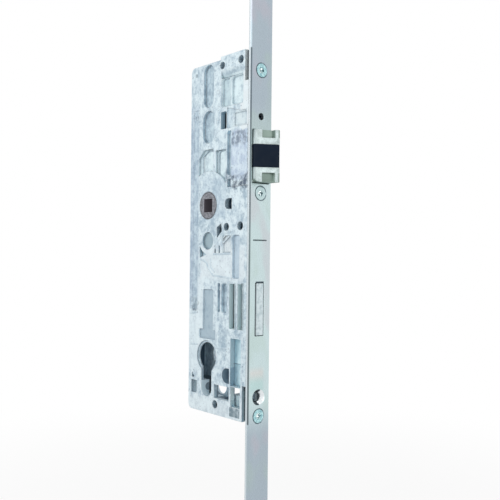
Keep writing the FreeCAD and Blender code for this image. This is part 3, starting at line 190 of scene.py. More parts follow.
class Net(Tree):
    """The node tree of one finish, with short calls for the nodes that finishes share."""

    edge_cosines: Pair = (0.995, 0.80)
    openness: Pair = (0.95, 0.40)
    upright_slope: Pair = (0.5, 0.3)

    def __init__(self, name: str) -> None:
        """Start a material with a surface shader.

        Args:
            name: The material's name.
        """
        self.material = bpy.data.materials.new(name)
        self.material.use_nodes = True
        super().__init__(self.material.node_tree)
        self.tree.nodes.clear()
        self.surface = self.tree.nodes.new("ShaderNodeBsdfPrincipled")
        self.output = self.tree.nodes.new("ShaderNodeOutputMaterial")
        self.feed(self.output.inputs["Surface"], self.surface.outputs["BSDF"])
        inputs = {0: self.node("ShaderNodeTexCoord")["Object"], "Scale": 1.0 / MM}
        self.place_mm = self.node("ShaderNodeVectorMath", inputs, operation="SCALE")[0]

    def math(self, kind: str, *values: object) -> Signal:
        """The result of an operation, such as MAXIMUM, on signals or numbers."""
        return Signal(self, self.node("ShaderNodeMath", dict(enumerate(values)), operation=kind)[0])

    def mix(self, share: object, low: object, high: object) -> Signal:
        """A blend of two colours, from all of the first to all of the second as the share goes up."""
        return Signal(self, self.node("ShaderNodeMix", {0: share, 6: low, 7: high}, data_type="RGBA")[2])

    def span(self, value: object, low: float, high: float,
             bottom: float = 0.0, top: float = 1.0) -> Signal:
        """A number carried smoothly from low and high to bottom and top, and held beyond them."""
        inputs = dict(enumerate((value, low, high, bottom, top)))
        return Signal(self, self.node("ShaderNodeMapRange", inputs, interpolation_type="SMOOTHSTEP")[0])

    def between(self, value: Signal, low: float, high: float, soft: float = 0.15) -> Signal:
        """1 where a number lies between two others and 0 elsewhere, with soft ends."""
        return self.span(value, low - soft, low) * self.span(value, high, high + soft, 1.0, 0.0)

    def noise(self, blotch: float, detail: float = 4.0, rough: float = 0.55,
              stretch: Triple = Grain.NONE.value) -> Signal:
        """Cloudy noise: its blotches' size, its finer layers' number and strength, and its stretch."""
        mapping = self.node("ShaderNodeMapping", {"Vector": self.place_mm, "Scale": stretch})
        return Signal(self, self.node("ShaderNodeTexNoise", {
            "Vector": mapping[0], "Scale": 1.0 / blotch, "Detail": detail, "Roughness": rough})["Fac"])

    def parts(self, vector: Socket) -> tuple[Signal, ...]:
        """The X, Y and Z of a vector."""
        return tuple(Signal(self, part) for part in self.node("ShaderNodeSeparateXYZ", {0: vector}))

    def along(self, axis: int) -> Signal:
        """The place along X, Y or Z."""
        return self.parts(self.place_mm)[axis]

    def band(self, axis: int, low: float, high: float, soft: float = 0.8, ragged: object = 0.0) -> Signal:
        """1 between two places along an axis and 0 outside, with soft and perhaps ragged ends."""
        return self.between(self.along(axis) + ragged, low, high, soft)

    def from_axis(self, axes: tuple[int, int], *centres: Pair) -> Signal:
        """The distance from the nearest of several lines that run along the third axis.

        Args:
            axes: The two axes of the plane that the distance is taken in.
            *centres: Where the lines cross that plane.

        Returns:
            The distance.
        """
        nearest = None
        for centre in centres:
            first, second = ((self.along(axis) - place) ** 2.0 for axis, place in zip(axes, centre))
            distance = self.math("SQRT", first + second)
            nearest = distance if nearest is None else self.math("MINIMUM", nearest, distance)
        return nearest

    def rounded(self, radius_mm: float) -> Socket:
        """The direction of the surface as if its sharp edges were rounded."""
        return self.node("ShaderNodeBevel", {"Radius": radius_mm * MM}, samples=6)[0]

    def normal(self) -> Socket:
        """The direction of the surface."""
        return self.node("ShaderNodeNewGeometry")["Normal"]

    def edges(self, radius_mm: float) -> Signal:
        """How near a sharp edge a point is, from 0 on a flat face to 1 at the edge."""
        product = self.node("ShaderNodeVectorMath", {0: self.rounded(radius_mm), 1: self.normal()},
                            operation="DOT_PRODUCT")
        return self.span(product["Value"], *self.edge_cosines)

    def upright(self) -> Signal:
        """1 on faces that stand across the lock's thickness, as the walls of openings do."""
        return self.span(abs(self.parts(self.normal())[Y]), *self.upright_slope)

    def crevices(self, reach_mm: float) -> Signal:
        """How closed in a point is, from 0 in the open to 1 deep in a corner."""
        around = self.node("ShaderNodeAmbientOcclusion", {"Distance": reach_mm * MM}, samples=8)
        return self.span(around["AO"], *self.openness)

    def coat(self, body: Signal, metallic: object, grain: Signal, gloss: Pair) -> None:
        """Set the colour, the share of metal and the roughness, whose two limits follow a noise."""
        for name, value in (("Base Color", body), ("Metallic", metallic),
                            ("Roughness", self.span(grain, 0.3, 0.7, *gloss))):
            self.feed(self.surface.inputs[name], value)

    def bump(self, height: Signal, depth_mm: float, strength: float = 1.0,
             base: Socket | None = None) -> None:
        """Roughen the surface.

        Args:
            height: The height, between 0 and 1.
            depth_mm: The real depth of a height of 1.
            strength: How strong the effect is.
            base: The direction of the surface before roughening, or None for its own.
        """
        inputs = {"Height": height, "Distance": depth_mm * MM, "Strength": strength}
        if base is not None:
            inputs["Normal"] = base
        self.feed(self.surface.inputs["Normal"], self.node("ShaderNodeBump", inputs)[0])


@dataclass(frozen=True)
class Finish:
    """A finish, which each kind of surface paints in its own way."""

    name: str

    def paint(self, net: Net) -> None:
        """Wire the surface's colour, gloss and relief.

        Args:
            net: The finish's nodes.
        """
        raise NotImplementedError

    def build(self) -> bpy.types.Material:
        """Make the material and return it."""
        net = Net(self.name)
        self.paint(net)
        return net.material


@dataclass(frozen=True)
class TintPatch:
    """A patch of a casting with another tint, in millimetres of X and Z, used for real stains and for
    painted light and shade.

    A patch that fades over less than a millimetre has straight ends. A speckled one shows as
    dots on the near side, or as scored lines where it lies on a wall.
    """

    across: Pair
    up: Pair
    tint: Colour
    share: float
    soft_mm: float = 2.0
    speckled: bool = False

    def mask(self, net: Net, ragged: object = 0.0) -> Signal:
        """How much of the patch shows at a point, with a noise that makes its outline uneven."""
        ragged = ragged if self.soft_mm >= 1.0 else 0.0
        return (net.band(X, *self.across, min(self.soft_mm, 1.5), ragged)
                * net.band(Z, *self.up, self.soft_mm, ragged) * self.share)


@dataclass(frozen=True)
class CastZinc(Finish):
    """Bright cast zinc: mottled blue-white outside, greyer in pockets (partly painted shade), painted shade
    within, and painted edge highlights.
    """

    name: str = "cast_zinc"
    pale: Colour = (0.90, 0.96, 0.985)
    dull: Colour = (0.66, 0.75, 0.81)
    # Pocket colours are greyer than the outside: partly an oilier tone, partly painted shade in the
    # recesses.
    shaded_pocket_pale: Colour = (0.83, 0.905, 0.94)
    shaded_pocket_dull: Colour = (0.63, 0.72, 0.78)
    # Painted shade: the dark lining inside the case, so that its openings look dark.
    shade_within: Colour = (0.27, 0.36, 0.43)
    # Painted shade in corners and crevices; also the colour of the real dark specks and of the painted
    # shade ring round the hub.
    crevice: Colour = (0.30, 0.38, 0.45)
    # Painted highlight along sharp edges.
    edge: Colour = (0.97, 0.99, 1.0)
    scored: Colour = (0.62, 0.75, 0.84)
    outer_mm: float = 7.0
    pocket_mm: float = 6.1
    wall_mm: Pair = (4.75, 3.4)
    middle_mm: Pair = (-30.25, -20.8)
    half_mm: Pair = (27.75, 105.4)
    corner_power: float = 12.0
    hub_mm: Pair = (-40.0, 0.0)
    hub_rim_mm: Pair = (8.2, 8.6)
    pit_mm: Pair = (-1.2, -111.6)
    pit_radius_mm: float = 2.2
    pit_wall_mm: Pair = (-52.0, -44.0)
    raggedness_mm: float = 8.0
    metal: float = 0.35
    # Tint patches on the outer faces, mostly stains, streaks and scuffs; the last is painted shade.
    stains_and_shade: tuple[TintPatch, ...] = (
        TintPatch((-58.0, -48.5), (-100.0, -66.0), (0.93, 0.98, 1.0), 0.60, 4.0),
        TintPatch((-50.0, -44.0), (-86.0, -44.0), (0.93, 0.98, 1.0), 0.60, 3.0),
        TintPatch((-58.0, -50.3), (-52.0, 50.0), (0.60, 0.69, 0.78), 0.45, 9.0),
        TintPatch((-57.2, -50.3), (-64.0, 62.0), (0.62, 0.71, 0.80), 0.42, 0.7),
        TintPatch((-46.0, -24.0), (-6.0, 14.0), (0.68, 0.77, 0.84), 0.50, 5.0),
        TintPatch((-17.0, -4.0), (14.0, 42.5), (0.76, 0.82, 0.92), 0.50, 1.5),
        TintPatch((-16.5, -5.0), (36.0, 41.0), (0.44, 0.50, 0.58), 0.80, 2.5, True),
        TintPatch((-16.5, -4.5), (9.5, 15.5), (0.30, 0.36, 0.44), 0.95, 2.0, True),
        TintPatch((-22.5, -17.9), (12.0, 20.0), (0.42, 0.50, 0.58), 0.80, 2.0, True),
        TintPatch((-46.0, -6.0), (-42.0, -28.0), (0.95, 0.985, 1.0), 0.60, 5.0),
        TintPatch((-58.0, -3.0), (-127.0, -118.5), (0.96, 0.99, 1.0), 0.40, 5.0),
        TintPatch((-54.6, -50.0), (-63.5, -57.5), (0.34, 0.42, 0.48), 0.85, 1.5, True),
        TintPatch((-17.6, -8.8), (-124.4, -119.4), (0.40, 0.50, 0.55), 0.90, 0.5),
        TintPatch((-14.4, -12.9), (-73.5, -46.5), (0.60, 0.68, 0.71), 0.85, 0.4),
        TintPatch((-7.9, -7.0), (-73.5, -46.5), (0.36, 0.43, 0.46), 0.95, 0.2),
        TintPatch((-6.9, -6.0), (-73.5, -46.5), (0.62, 0.70, 0.73), 0.85, 0.3),
        TintPatch((-9.5, -3.0), (44.0, 76.0), (0.96, 0.99, 1.0), 0.80),
        TintPatch((-53.6, -51.8), (80.9, 82.7), (0.50, 0.58, 0.63), 0.85, 0.4),
        # Painted shade along the gap between the case and the strip.
        TintPatch((-3.5, -2.0), (-127.0, 90.0), (0.46, 0.52, 0.56), 0.70, 0.3, True),
    )
    # Painted light and shade on the listed pocket floors, standing for how light falls in each pocket.
    floor_light_and_shade: tuple[TintPatch, ...] = (
        TintPatch((-19.6, -8.0), (57.0, 77.0), (0.92, 0.985, 1.0), 0.90, 1.0),
        TintPatch((-29.0, -20.6), (57.0, 77.0), (0.84, 0.92, 0.94), 0.80, 1.0),
        TintPatch((-17.5, -4.5), (44.5, 55.0), (0.90, 0.95, 0.965), 0.85, 1.0),
        TintPatch((-49.5, -24.0), (13.0, 38.0), (0.92, 0.985, 1.0), 0.90, 1.0),
        TintPatch((-27.0, -17.3), (-30.0, -17.0), (0.93, 0.96, 0.97), 0.90, 0.6),
        TintPatch((-16.9, -9.0), (-46.0, -17.0), (0.80, 0.87, 0.92), 0.80, 0.6),
        TintPatch((-49.0, -31.0), (-82.0, -50.0), (0.67, 0.75, 0.80), 0.75, 1.0),
        TintPatch((-56.5, -49.0), (-117.5, -107.0), (0.50, 0.58, 0.62), 0.95, 0.5),
        TintPatch((-48.0, -35.0), (-28.5, -14.5), (0.64, 0.73, 0.76), 0.85, 0.8),
    )
    # Painted light and shade on the listed walls seen through the openings; the speckled ones also carry
    # real scored lines.
    wall_light_and_shade: tuple[TintPatch, ...] = (
        TintPatch((-19.6, -7.0), (-74.5, -46.0), (0.90, 0.985, 1.0), 0.98, 0.5),
        TintPatch((-18.2, -7.2), (-108.0, -78.0), (0.74, 0.83, 0.87), 0.95, 0.5),
        TintPatch((-20.5, -7.2), (-115.4, -108.0), (0.88, 0.95, 0.96), 0.95, 0.5, True),
        TintPatch((-20.5, -7.2), (-120.0, -115.9), (0.84, 0.92, 0.93), 0.95, 0.5, True),
        TintPatch((-27.0, -17.0), (-107.0, -96.5), (0.54, 0.65, 0.72), 0.90, 0.5),
        TintPatch((-28.6, -20.0), (42.0, 56.0), (0.72, 0.85, 0.92), 0.95, 0.5),
        TintPatch((-7.3, -2.0), (70.0, 89.5), (0.97, 1.0, 1.0), 0.95, 0.5),
        TintPatch((-7.3, -2.0), (-127.0, -108.5), (0.73, 0.83, 0.86), 0.95, 0.5, True),
        TintPatch((-52.0, -34.0), (-107.0, -97.0), (0.62, 0.70, 0.75), 0.85, 0.6, True),
        TintPatch((-52.0, -34.0), (-120.0, -107.5), (0.86, 0.94, 0.98), 0.95, 0.3),
    )

    def paint(self, net: Net) -> None:
        """Wire the outer faces, pocket floors and inner walls, with painted shade in corners and openings
        and painted highlights on edges.

        Args:
            net: The finish's nodes.
        """
        cloud = net.noise(4.5, 5.0, 0.60)
        streak = net.noise(2.0, 4.0, 0.60, (1.0, 1.0, 0.30))
        fine = net.noise(1.5, 3.0, 0.65)
        grain = net.noise(0.45, 3.0, 0.6)
        mottled = fine * 0.26 + (streak * 0.26 + cloud * 0.48)
        depth = abs(net.along(Y))
        outside = self.outside(net, mottled, cloud, fine)
        # Greyer pocket floors, partly painted shade.
        pocket = net.mix(net.span(mottled, 0.40, 0.62), self.shaded_pocket_pale, self.shaded_pocket_dull)
        spread = net.span(mottled, 0.62, 0.42, 0.45, 1.0)
        # Painted light and shade on the listed pocket floors.
        for floor in self.floor_light_and_shade:
            pocket = net.mix(floor.mask(net) * spread, pocket, floor.tint)
        # Painted shade within the openings, with painted light and shade on the listed walls.
        hollow_light_and_shade, listed = self.hollow_light_and_shade(net)
        sides = [abs((net.along(axis) - middle) * (1.0 / half)) ** self.corner_power
                 for axis, middle, half in zip((X, Z), self.middle_mm, self.half_mm)]
        inside = net.span(depth, *self.wall_mm) * net.span(sides[0] + sides[1], 0.80, 0.88, 1.0, 0.0)
        lining = net.upright() * listed * net.span(depth, self.outer_mm - 0.02, self.outer_mm - 0.2)
        sunk = net.span(depth, self.outer_mm - 0.1, self.pocket_mm)
        body = net.mix(inside | lining, net.mix(sunk, outside, pocket), hollow_light_and_shade)
        # Painted shade in corners and crevices, weaker on the tinted walls.
        body = net.mix(net.crevices(1.2) * (lining * -0.6 + 0.6), body, self.crevice)
        # Painted highlights along edges, weaker inside the case.
        body = net.mix(net.edges(0.3) * (inside * -0.45 + 1.0), body, self.edge)
        net.coat(body, lining * -self.metal + self.metal, grain, (0.42, 0.62))
        net.bump(mottled * 0.8 + grain * 0.6, 0.16, 0.6, net.rounded(0.25))

    def outside(self, net: Net, mottled: Signal, cloud: Signal, fine: Signal) -> Signal:
        """The colour of the outer faces, with their stains, dark specks and the painted shade ring round
        the hub.

        Args:
            net: The finish's nodes.
            mottled: All noises together.
            cloud: The widest noise.
            fine: A finer noise.

        Returns:
            The colour.
        """
        colour = net.mix(net.span(mottled, 0.42, 0.64), self.pale, self.dull)
        ragged = (cloud - 0.5) * self.raggedness_mm
        texture = net.span(mottled, 0.34, 0.58, 0.35, 1.0)
        dots = net.span(fine * 0.35 + net.noise(3.4, 2.0, 0.5) * 0.65, 0.34, 0.62)
        dots = dots * net.span(net.along(Y), 1.0, -1.0)
        for patch in self.stains_and_shade:
            spread = dots if patch.speckled else texture
            colour = net.mix(patch.mask(net, ragged) * spread, colour, patch.tint)
        specks = net.span(net.noise(1.1, 3.0, 0.7), 0.62, 0.72, 0.0, 0.60)
        # Painted shade ring on the case round the gap at the hub.
        rim_shade = net.between(net.from_axis((X, Z), self.hub_mm), *self.hub_rim_mm) * 0.6
        return net.mix(specks | rim_shade, colour, self.crevice)

    def hollow_light_and_shade(self, net: Net) -> tuple[Signal, Signal]:
        """Painted shade for what is seen through the case's openings, with painted light and shade on the
        listed walls.

        Args:
            net: The finish's nodes.

        Returns:
            The colour, and a mask of the walls that have a tint of their own.
        """
        lines = net.span(net.noise(0.5, 1.0, 0.5, Grain.ALONG_Z.value), 0.50, 0.60)
        colour, listed = self.shade_within, None
        for wall in self.wall_light_and_shade:
            mask = wall.mask(net)
            tint = net.mix(lines, wall.tint, self.scored) if wall.speckled else wall.tint
            colour = net.mix(mask, colour, tint)
            listed = mask if listed is None else listed | mask
        pit = (net.between(net.from_axis((Y, Z), self.pit_mm), -1.0, self.pit_radius_mm, 0.4)
               * net.band(X, *self.pit_wall_mm, 0.5))
        return net.mix(pit * 0.8, colour, self.shade_within), listed


@dataclass(frozen=True)
class PlatedStrip(Finish):
    """Polished zinc plating on the long strip, with a painted lamp reflection that leaves it greyer towards
    its ends, and faint rainbow tints.
    """

    name: str = "plated_strip"
    middle: Colour = (0.81, 0.885, 0.892)
    ends: Colour = (0.69, 0.745, 0.785)
    side: Colour = (0.84, 0.88, 0.90)
    # Real scratches, and painted shade in gaps and corners.
    scratch_and_shade: Colour = (0.36, 0.42, 0.46)
    shadow: Colour = (0.20, 0.25, 0.28)
    lit: Colour = (0.94, 0.96, 0.97)
    pink: Colour = (0.80, 0.73, 0.775)
    green: Colour = (0.71, 0.80, 0.74)
    teal: Colour = (0.66, 0.84, 0.82)
    peach: Colour = (0.93, 0.84, 0.80)
    upper_mm: Pair = (18.0, 62.0)
    lower_mm: Pair = (-112.0, -136.0)
    rainbow_mm: Pair = (-106.0, -98.0)
    turning_mm: Pair = (-104.0, -97.0)
    half_width_mm: float = 8.0
    screw_rim_mm: Pair = (4.0, 4.45)
    slot_mm: Triple = (3.0, -76.2, -46.2)
    hole_mm: float = -111.7
    hole_radius_mm: float = 4.7
    case_mm: Pair = (-126.0, 88.0)

    def paint(self, net: Net) -> None:
        """Wire the plating, and the painted shade and shadow lines where other pieces meet the strip.

        Args:
            net: The finish's nodes.
        """
        height, width, front = net.along(Z), net.along(Y), net.along(X)
        # Painted reflection: brighter in the middle, where a broad lamp reflection falls, greyer towards
        # the ends.
        ends = net.span(height, *self.upper_mm) + net.span(height, *self.lower_mm)
        body = net.mix(ends, self.middle, self.ends)
        tints = net.noise(26.0, 2.0, 0.5, (0.4, 1.4, 0.8))
        body = net.mix(net.span(tints, 0.52, 0.66, 0.0, 0.28), body, self.pink)
        body = net.mix(net.span(tints, 0.46, 0.34, 0.0, 0.25), body, self.green)
        rainbow = net.band(Z, *self.rainbow_mm, 5.0) * net.band(Y, -5.5, 2.0, 3.0) * 0.35
        turning = net.span(height, *self.turning_mm)
        body = net.mix(rainbow, body, net.mix(turning, self.teal, self.peach))
        scratches = net.noise(0.25, 3.0, 0.6, Grain.ALONG_Z.value)
        body = net.mix(net.span(scratches, 0.55, 0.75, 0.0, 0.12), body, self.scratch_and_shade)
        # Painted shade in the countersink gap round each screw.
        screws = net.from_axis((Y, Z), *((0.0, up) for up in SCREWS_MM))
        broken = net.span(net.noise(2.5), 0.40, 0.55, 0.4, 0.95)
        gap = net.between(screws, *self.screw_rim_mm) * broken
        half, low, high = self.slot_mm
        # Painted shade in the gap above and beside the deadbolt.
        above_bolt = net.band(Z, high, high + 1.0, 0.1) * net.band(Y, -half, half, 0.1)
        beside_bolt = net.band(Y, -half - 0.6, -half, 0.1) * net.band(Z, low, high, 0.2) * 0.8
        body = net.mix(above_bolt | beside_bolt | gap, body, self.scratch_and_shade)
        near_edge = net.span(width, 0.60 - self.half_width_mm, 0.45 - self.half_width_mm)
        body = net.mix(near_edge * net.band(Z, *self.case_mm) * 0.8, body, self.shadow)
        body = net.mix(net.span(front, -0.8, -1.1), body, self.side)
        hole = (net.between(net.from_axis((Y, Z), (0.0, self.hole_mm)), -1.0, self.hole_radius_mm)
                * net.span(front, -0.1, -0.3))
        turned = (net.noise(2.2, 2.0) - 0.5) * 9.0 + width
        body = net.mix(hole, body, net.mix(net.span(turned, 0.9, 1.5), self.shadow, self.lit))
        # Painted shade in corners and crevices.
        body = net.mix(net.crevices(1.0) * 0.6, body, self.scratch_and_shade)
        net.coat(body, 0.80, scratches, (0.22, 0.34))
        net.bump(scratches, 0.012, 0.35)


@dataclass(frozen=True)
class PlatedScrew(Finish):
    """Clear cyan plating on the strip's screws: a painted shade ring at the rim, and a recess painted with
    light and shade round a bright heart.
    """

    name: str = "screw_plating"
    light: Colour = (0.78, 0.94, 0.95)
    dark: Colour = (0.56, 0.74, 0.78)
    neutral: Colour = (0.80, 0.87, 0.87)
    rim_shade: Colour = (0.30, 0.42, 0.47)
    shaded: Colour = (0.20, 0.36, 0.40)
    lit: Colour = (0.97, 1.0, 1.0)
    rim_mm: float = 3.75
    recess_mm: float = 2.3
    reach_mm: float = 6.0

    def paint(self, net: Net) -> None:
        """Wire the plating, the painted shade at the rims and the painted light and shade in the recesses.

        Args:
            net: The finish's nodes.
        """
        distance = net.from_axis((Y, Z), *((0.0, up) for up in SCREWS_MM))
        cloud = net.noise(1.4, 3.0, 0.6)
        body = net.mix(net.span(cloud, 0.40, 0.62), self.light, self.dark)
        middle = SCREWS_MM[1]
        beside_latch = net.band(Z, middle - self.reach_mm, middle + self.reach_mm)
        body = net.mix(beside_latch * 0.75, body, self.neutral)
        # Painted shade at the head's rim, where the countersink gap falls in shade.
        body = net.mix(net.span(distance, self.rim_mm, self.rim_mm + 0.2, 0.0, 0.8), body, self.rim_shade)
        # Painted light and shade in the recess: a bright heart with dark strokes.
        sunk = net.span(net.along(X), -0.15, -0.5) * net.between(distance, -1.0, self.recess_mm)
        strokes = net.span(net.noise(1.1, 2.0, 0.5), 0.53, 0.57)
        body = net.mix(sunk, body, net.mix(strokes, self.lit, self.shaded))
        for name, value in (("Base Color", body), ("Metallic", net.span(sunk, 0.0, 1.0, 0.7, 1.0)),
                            ("Roughness", net.span(sunk, 0.0, 1.0, 0.26, 0.12))):
            net.feed(net.surface.inputs[name], value)
        net.bump(cloud, 0.02, 0.4)


@dataclass(frozen=True)
class LatchPlating(Finish):
    """Pale greenish plating on the cast latch, darker along its near side, with painted shade in its
    notches and corners and painted highlights on its edges.
    """

    name: str = "latch_plating"
    light: Colour = (0.83, 0.885, 0.885)
    dark: Colour = (0.70, 0.76, 0.755)
    # Painted shade in the notches.
    notch_shade: Colour = (0.53, 0.61, 0.57)
    flank: Colour = (0.73, 0.785, 0.79)
    crevice: Colour = (0.22, 0.27, 0.24)
    edge: Colour = (0.93, 0.97, 0.94)
    shoulder_mm: float = 2.0
    slope: float = 0.618
    half_width_mm: float = 6.4
    notches_mm: Pair = (17.0, 36.9)

    def paint(self, net: Net) -> None:
        """Wire the plating, the painted shade in the notches at both ends, and the darker near side.

        Args:
            net: The finish's nodes.
        """
        cloud = net.noise(2.4, 4.0, 0.6)
        grain = net.noise(0.4, 3.0, 0.6)
        mottled = cloud * 0.6 + grain * 0.4
        body = net.mix(net.span(mottled, 0.38, 0.64), self.light, self.dark)
        width, height, half = net.along(Y), net.along(Z), self.half_width_mm
        slant = (width + half) * self.slope + self.shoulder_mm
        below = net.span(slant - net.along(X), 0.25, 0.6)
        low, high = self.notches_mm
        ends = net.span(height, low, low - 0.1) | net.span(height, high, high + 0.1)
        # Painted shade on the notch floors at both ends.
        body = net.mix(below * ends * 0.9, body, self.notch_shade)
        body = net.mix(net.span(width, 0.4 - half, 0.25 - half) * 0.85, body, self.flank)
        # Painted shade in corners.
        body = net.mix(net.crevices(1.4) * 0.75, body, self.crevice)
        # Painted highlights along the edges.
        net.coat(net.mix(net.edges(0.2) * 0.5, body, self.edge), 0.5, grain, (0.34, 0.48))
        net.bump(mottled, 0.06, 0.5)


@dataclass(frozen=True)
class HubSteel(Finish):
    """Grey-brown sintered steel with a painted shade ring at its rim, and a brown-black square hole."""

    name: str = "hub_steel"
    light: Colour = (0.60, 0.61, 0.64)
    dark: Colour = (0.42, 0.43, 0.455)
    rim_shade: Colour = (0.15, 0.14, 0.15)
    hole: Colour = (0.43, 0.41, 0.44)
    centre_mm: Pair = (-40.0, 0.0)
    rim_mm: float = 7.75
    square_mm: float = 4.0

    def paint(self, net: Net) -> None:
        """Wire the steel, the painted shade at its rim and the walls of the square hole.

        Args:
            net: The finish's nodes.
        """
        cloud = net.noise(1.1, 4.0, 0.65)
        grain = net.noise(0.4, 3.0, 0.6)
        body = net.mix(net.span(cloud, 0.38, 0.62), self.light, self.dark)
        distance = net.from_axis((X, Z), self.centre_mm)
        # Painted shade ring at the hub's rim, where the gap to the case falls in shade.
        body = net.mix(net.span(distance, self.rim_mm, self.rim_mm + 0.25, 0.0, 0.9), body, self.rim_shade)
        across, up = (abs(net.along(axis) - place) for axis, place in zip((X, Z), self.centre_mm))
        inner = net.span(across | up, self.square_mm + 0.12, self.square_mm + 0.04)
        net.coat(net.mix(inner, body, self.hole), 0.4, grain, (0.45, 0.6))
        net.bump(grain, 0.05, 0.5)


@dataclass(frozen=True)
class GroundBolt(Finish):
    """A bolt with a mottled pale front and dark flanks that carry bright grinding lines."""

    name: str = "ground_bolt"
    light: Colour = (0.885, 0.94, 0.955)
    dark: Colour = (0.77, 0.84, 0.86)
    shaded: Colour = (0.60, 0.66, 0.69)
    line: Colour = (0.84, 0.89, 0.91)
    crevice: Colour = (0.20, 0.25, 0.28)
    half_width_mm: float = 3.0

    def paint(self, net: Net) -> None:
        """Wire the front, the flanks and the painted shadow of the gap along the near edge.

        Args:
            net: The finish's nodes.
        """
        cloud = net.noise(2.6, 3.0, 0.6)
        lines = net.noise(0.9, 3.0, 0.55, Grain.ALONG_Z.value)
        front = net.mix(net.span(cloud, 0.36, 0.68), self.light, self.dark)
        flank = net.mix(net.span(lines, 0.46, 0.60), self.shaded, self.line)
        body = net.mix(net.span(net.along(X), -2.0, -4.0), front, flank)
        # Painted shadow of the gap along the near edge.
        near = net.span(net.along(Y), 0.75 - self.half_width_mm, 0.45 - self.half_width_mm)
        body = net.mix(near * 0.65, body, self.crevice)
        # Painted shade in corners.
        body = net.mix(net.crevices(0.6) * 0.7, body, self.crevice)
        net.coat(body, 0.5, cloud, (0.30, 0.45))
        net.bump(cloud, 0.02, 0.2)


@dataclass(frozen=True)
class Plating(Finish):
    """Plated, rolled or sintered metal: two mixed shades, painted shade in corners, and painted highlights
    and wear along edges.
    """

    light: Colour
    dark: Colour
    crevice: Colour
    grain: Grain = Grain.NONE
    cloud_mm: float = 4.0
    metallic: float = 0.7
    gloss: Pair = (0.28, 0.42)
    edge: Colour = (0.95, 0.97, 0.98)
    edge_share: float = 0.5
    reach_mm: float = 0.8
    depth_mm: float = 0.02

    def paint(self, net: Net) -> None:
        """Wire the two shades, the painted shade in the corners, and the painted highlights and wear on the
        edges.

        Args:
            net: The finish's nodes.
        """
        grain = net.noise(0.35, 3.0, 0.6, self.grain.value)
        mottled = net.noise(self.cloud_mm, 4.0, 0.6) * 0.6 + grain * 0.4
        body = net.mix(net.span(mottled, 0.38, 0.64), self.light, self.dark)
        # Painted shade in corners and crevices.
        body = net.mix(net.crevices(self.reach_mm) * 0.8, body, self.crevice)
        # Painted highlights and wear along the edges.
        body = net.mix(net.edges(0.15) * self.edge_share, body, self.edge)
        net.coat(body, self.metallic, grain, self.gloss)
        net.bump(grain, self.depth_mm, 0.4)


@dataclass(frozen=True)
class MouldedPlastic(Finish):
    """Black plastic with a fine moulded texture."""

    name: str = "moulded_plastic"
    base: Colour = (0.06, 0.12, 0.19)
    scuffed: Colour = (0.10, 0.145, 0.20)
    specular: float = 0.12

    def paint(self, net: Net) -> None:
        """Wire the plastic and its texture.

        Args:
            net: The finish's nodes.
        """
        grain = net.noise(0.25, 2.0, 0.5)
        scuffs = net.span(net.noise(4.0, 4.0, 0.6), 0.35, 0.75)
        net.coat(net.mix(scuffs, self.base, self.scuffed), 0.0, grain, (0.50, 0.62))
        net.feed(net.surface.inputs["Specular IOR Level"], self.specular)
        net.bump(grain, 0.03, 0.5)


class Recipe(Tree):
    """A Geometry Nodes tree with named inputs, and the plain mesh that it makes."""

    def __init__(self, name: str) -> None:
        """Start a tree with one geometry going in and one coming out.

        Args:
            name: The tree's name.
        """
        super().__init__(bpy.data.node_groups.new(name, "GeometryNodeTree"))
        for way in ("INPUT", "OUTPUT"):
            self.tree.interface.new_socket("Geometry", in_out=way, socket_type="NodeSocketGeometry")
        self.entry = self.tree.nodes.new("NodeGroupInput")
        self.values: dict[str, object] = {}

    def given(self, name: str, value: object) -> Socket:
        """Add a named input.

        Args:
            name: The input's name.
            value: Its value, a number or a triple.

        Returns:
            The socket that carries the value in the tree.
        """
        kinds = {float: "NodeSocketFloat", tuple: "NodeSocketVector"}
        item = self.tree.interface.new_socket(name, in_out="INPUT", socket_type=kinds[type(value)])
        self.values[item.identifier] = value
        return self.entry.outputs[name]

    def tube(self, curve: Socket, radius: Socket, sides: int) -> Socket:
        """A closed tube of this radius and number of sides along a curve."""
        section = self.node("GeometryNodeCurvePrimitiveCircle", {"Resolution": sides, "Radius": radius})
        return self.node("GeometryNodeCurveToMesh", {
            "Curve": curve, "Profile Curve": section[0], "Fill Caps": True})[0]

    def make(self, name: str, geometry: Socket, material: bpy.types.Material, points: list[Triple],
             joins: list[tuple[int, int]] | None = None, smooth: bool = True) -> bpy.types.Object:
        """End the tree, run it and keep the result as a plain mesh.

        Args:
            name: The piece's name.
            geometry: What the tree has made.
            material: The piece's material.
            points: The places that the tree starts from.
            joins: The pairs of places that are joined by a line, or None.
            smooth: Whether its faces are shaded as one round surface.

        Returns:
            The piece.
        """
        real = self.node("GeometryNodeRealizeInstances", {"Geometry": geometry})
        dressed = self.node("GeometryNodeSetMaterial", {"Geometry": real[0], "Material": material})
        self.node("NodeGroupOutput", {0: dressed[0]})
        seed = bpy.data.meshes.new(name)
        seed.from_pydata(points, joins or [], [])
        piece = in_scene(name, seed)
        modifier = piece.modifiers.new("recipe", "NODES")
        modifier.node_group = self.tree
        for identifier, value in self.values.items():
            modifier[identifier] = value
        seen = piece.evaluated_get(bpy.context.evaluated_depsgraph_get())
        result = bpy.data.meshes.new_from_object(seen)
        piece.modifiers.remove(modifier)
        piece.data = result
        if smooth:
            result.shade_smooth()
        return piece


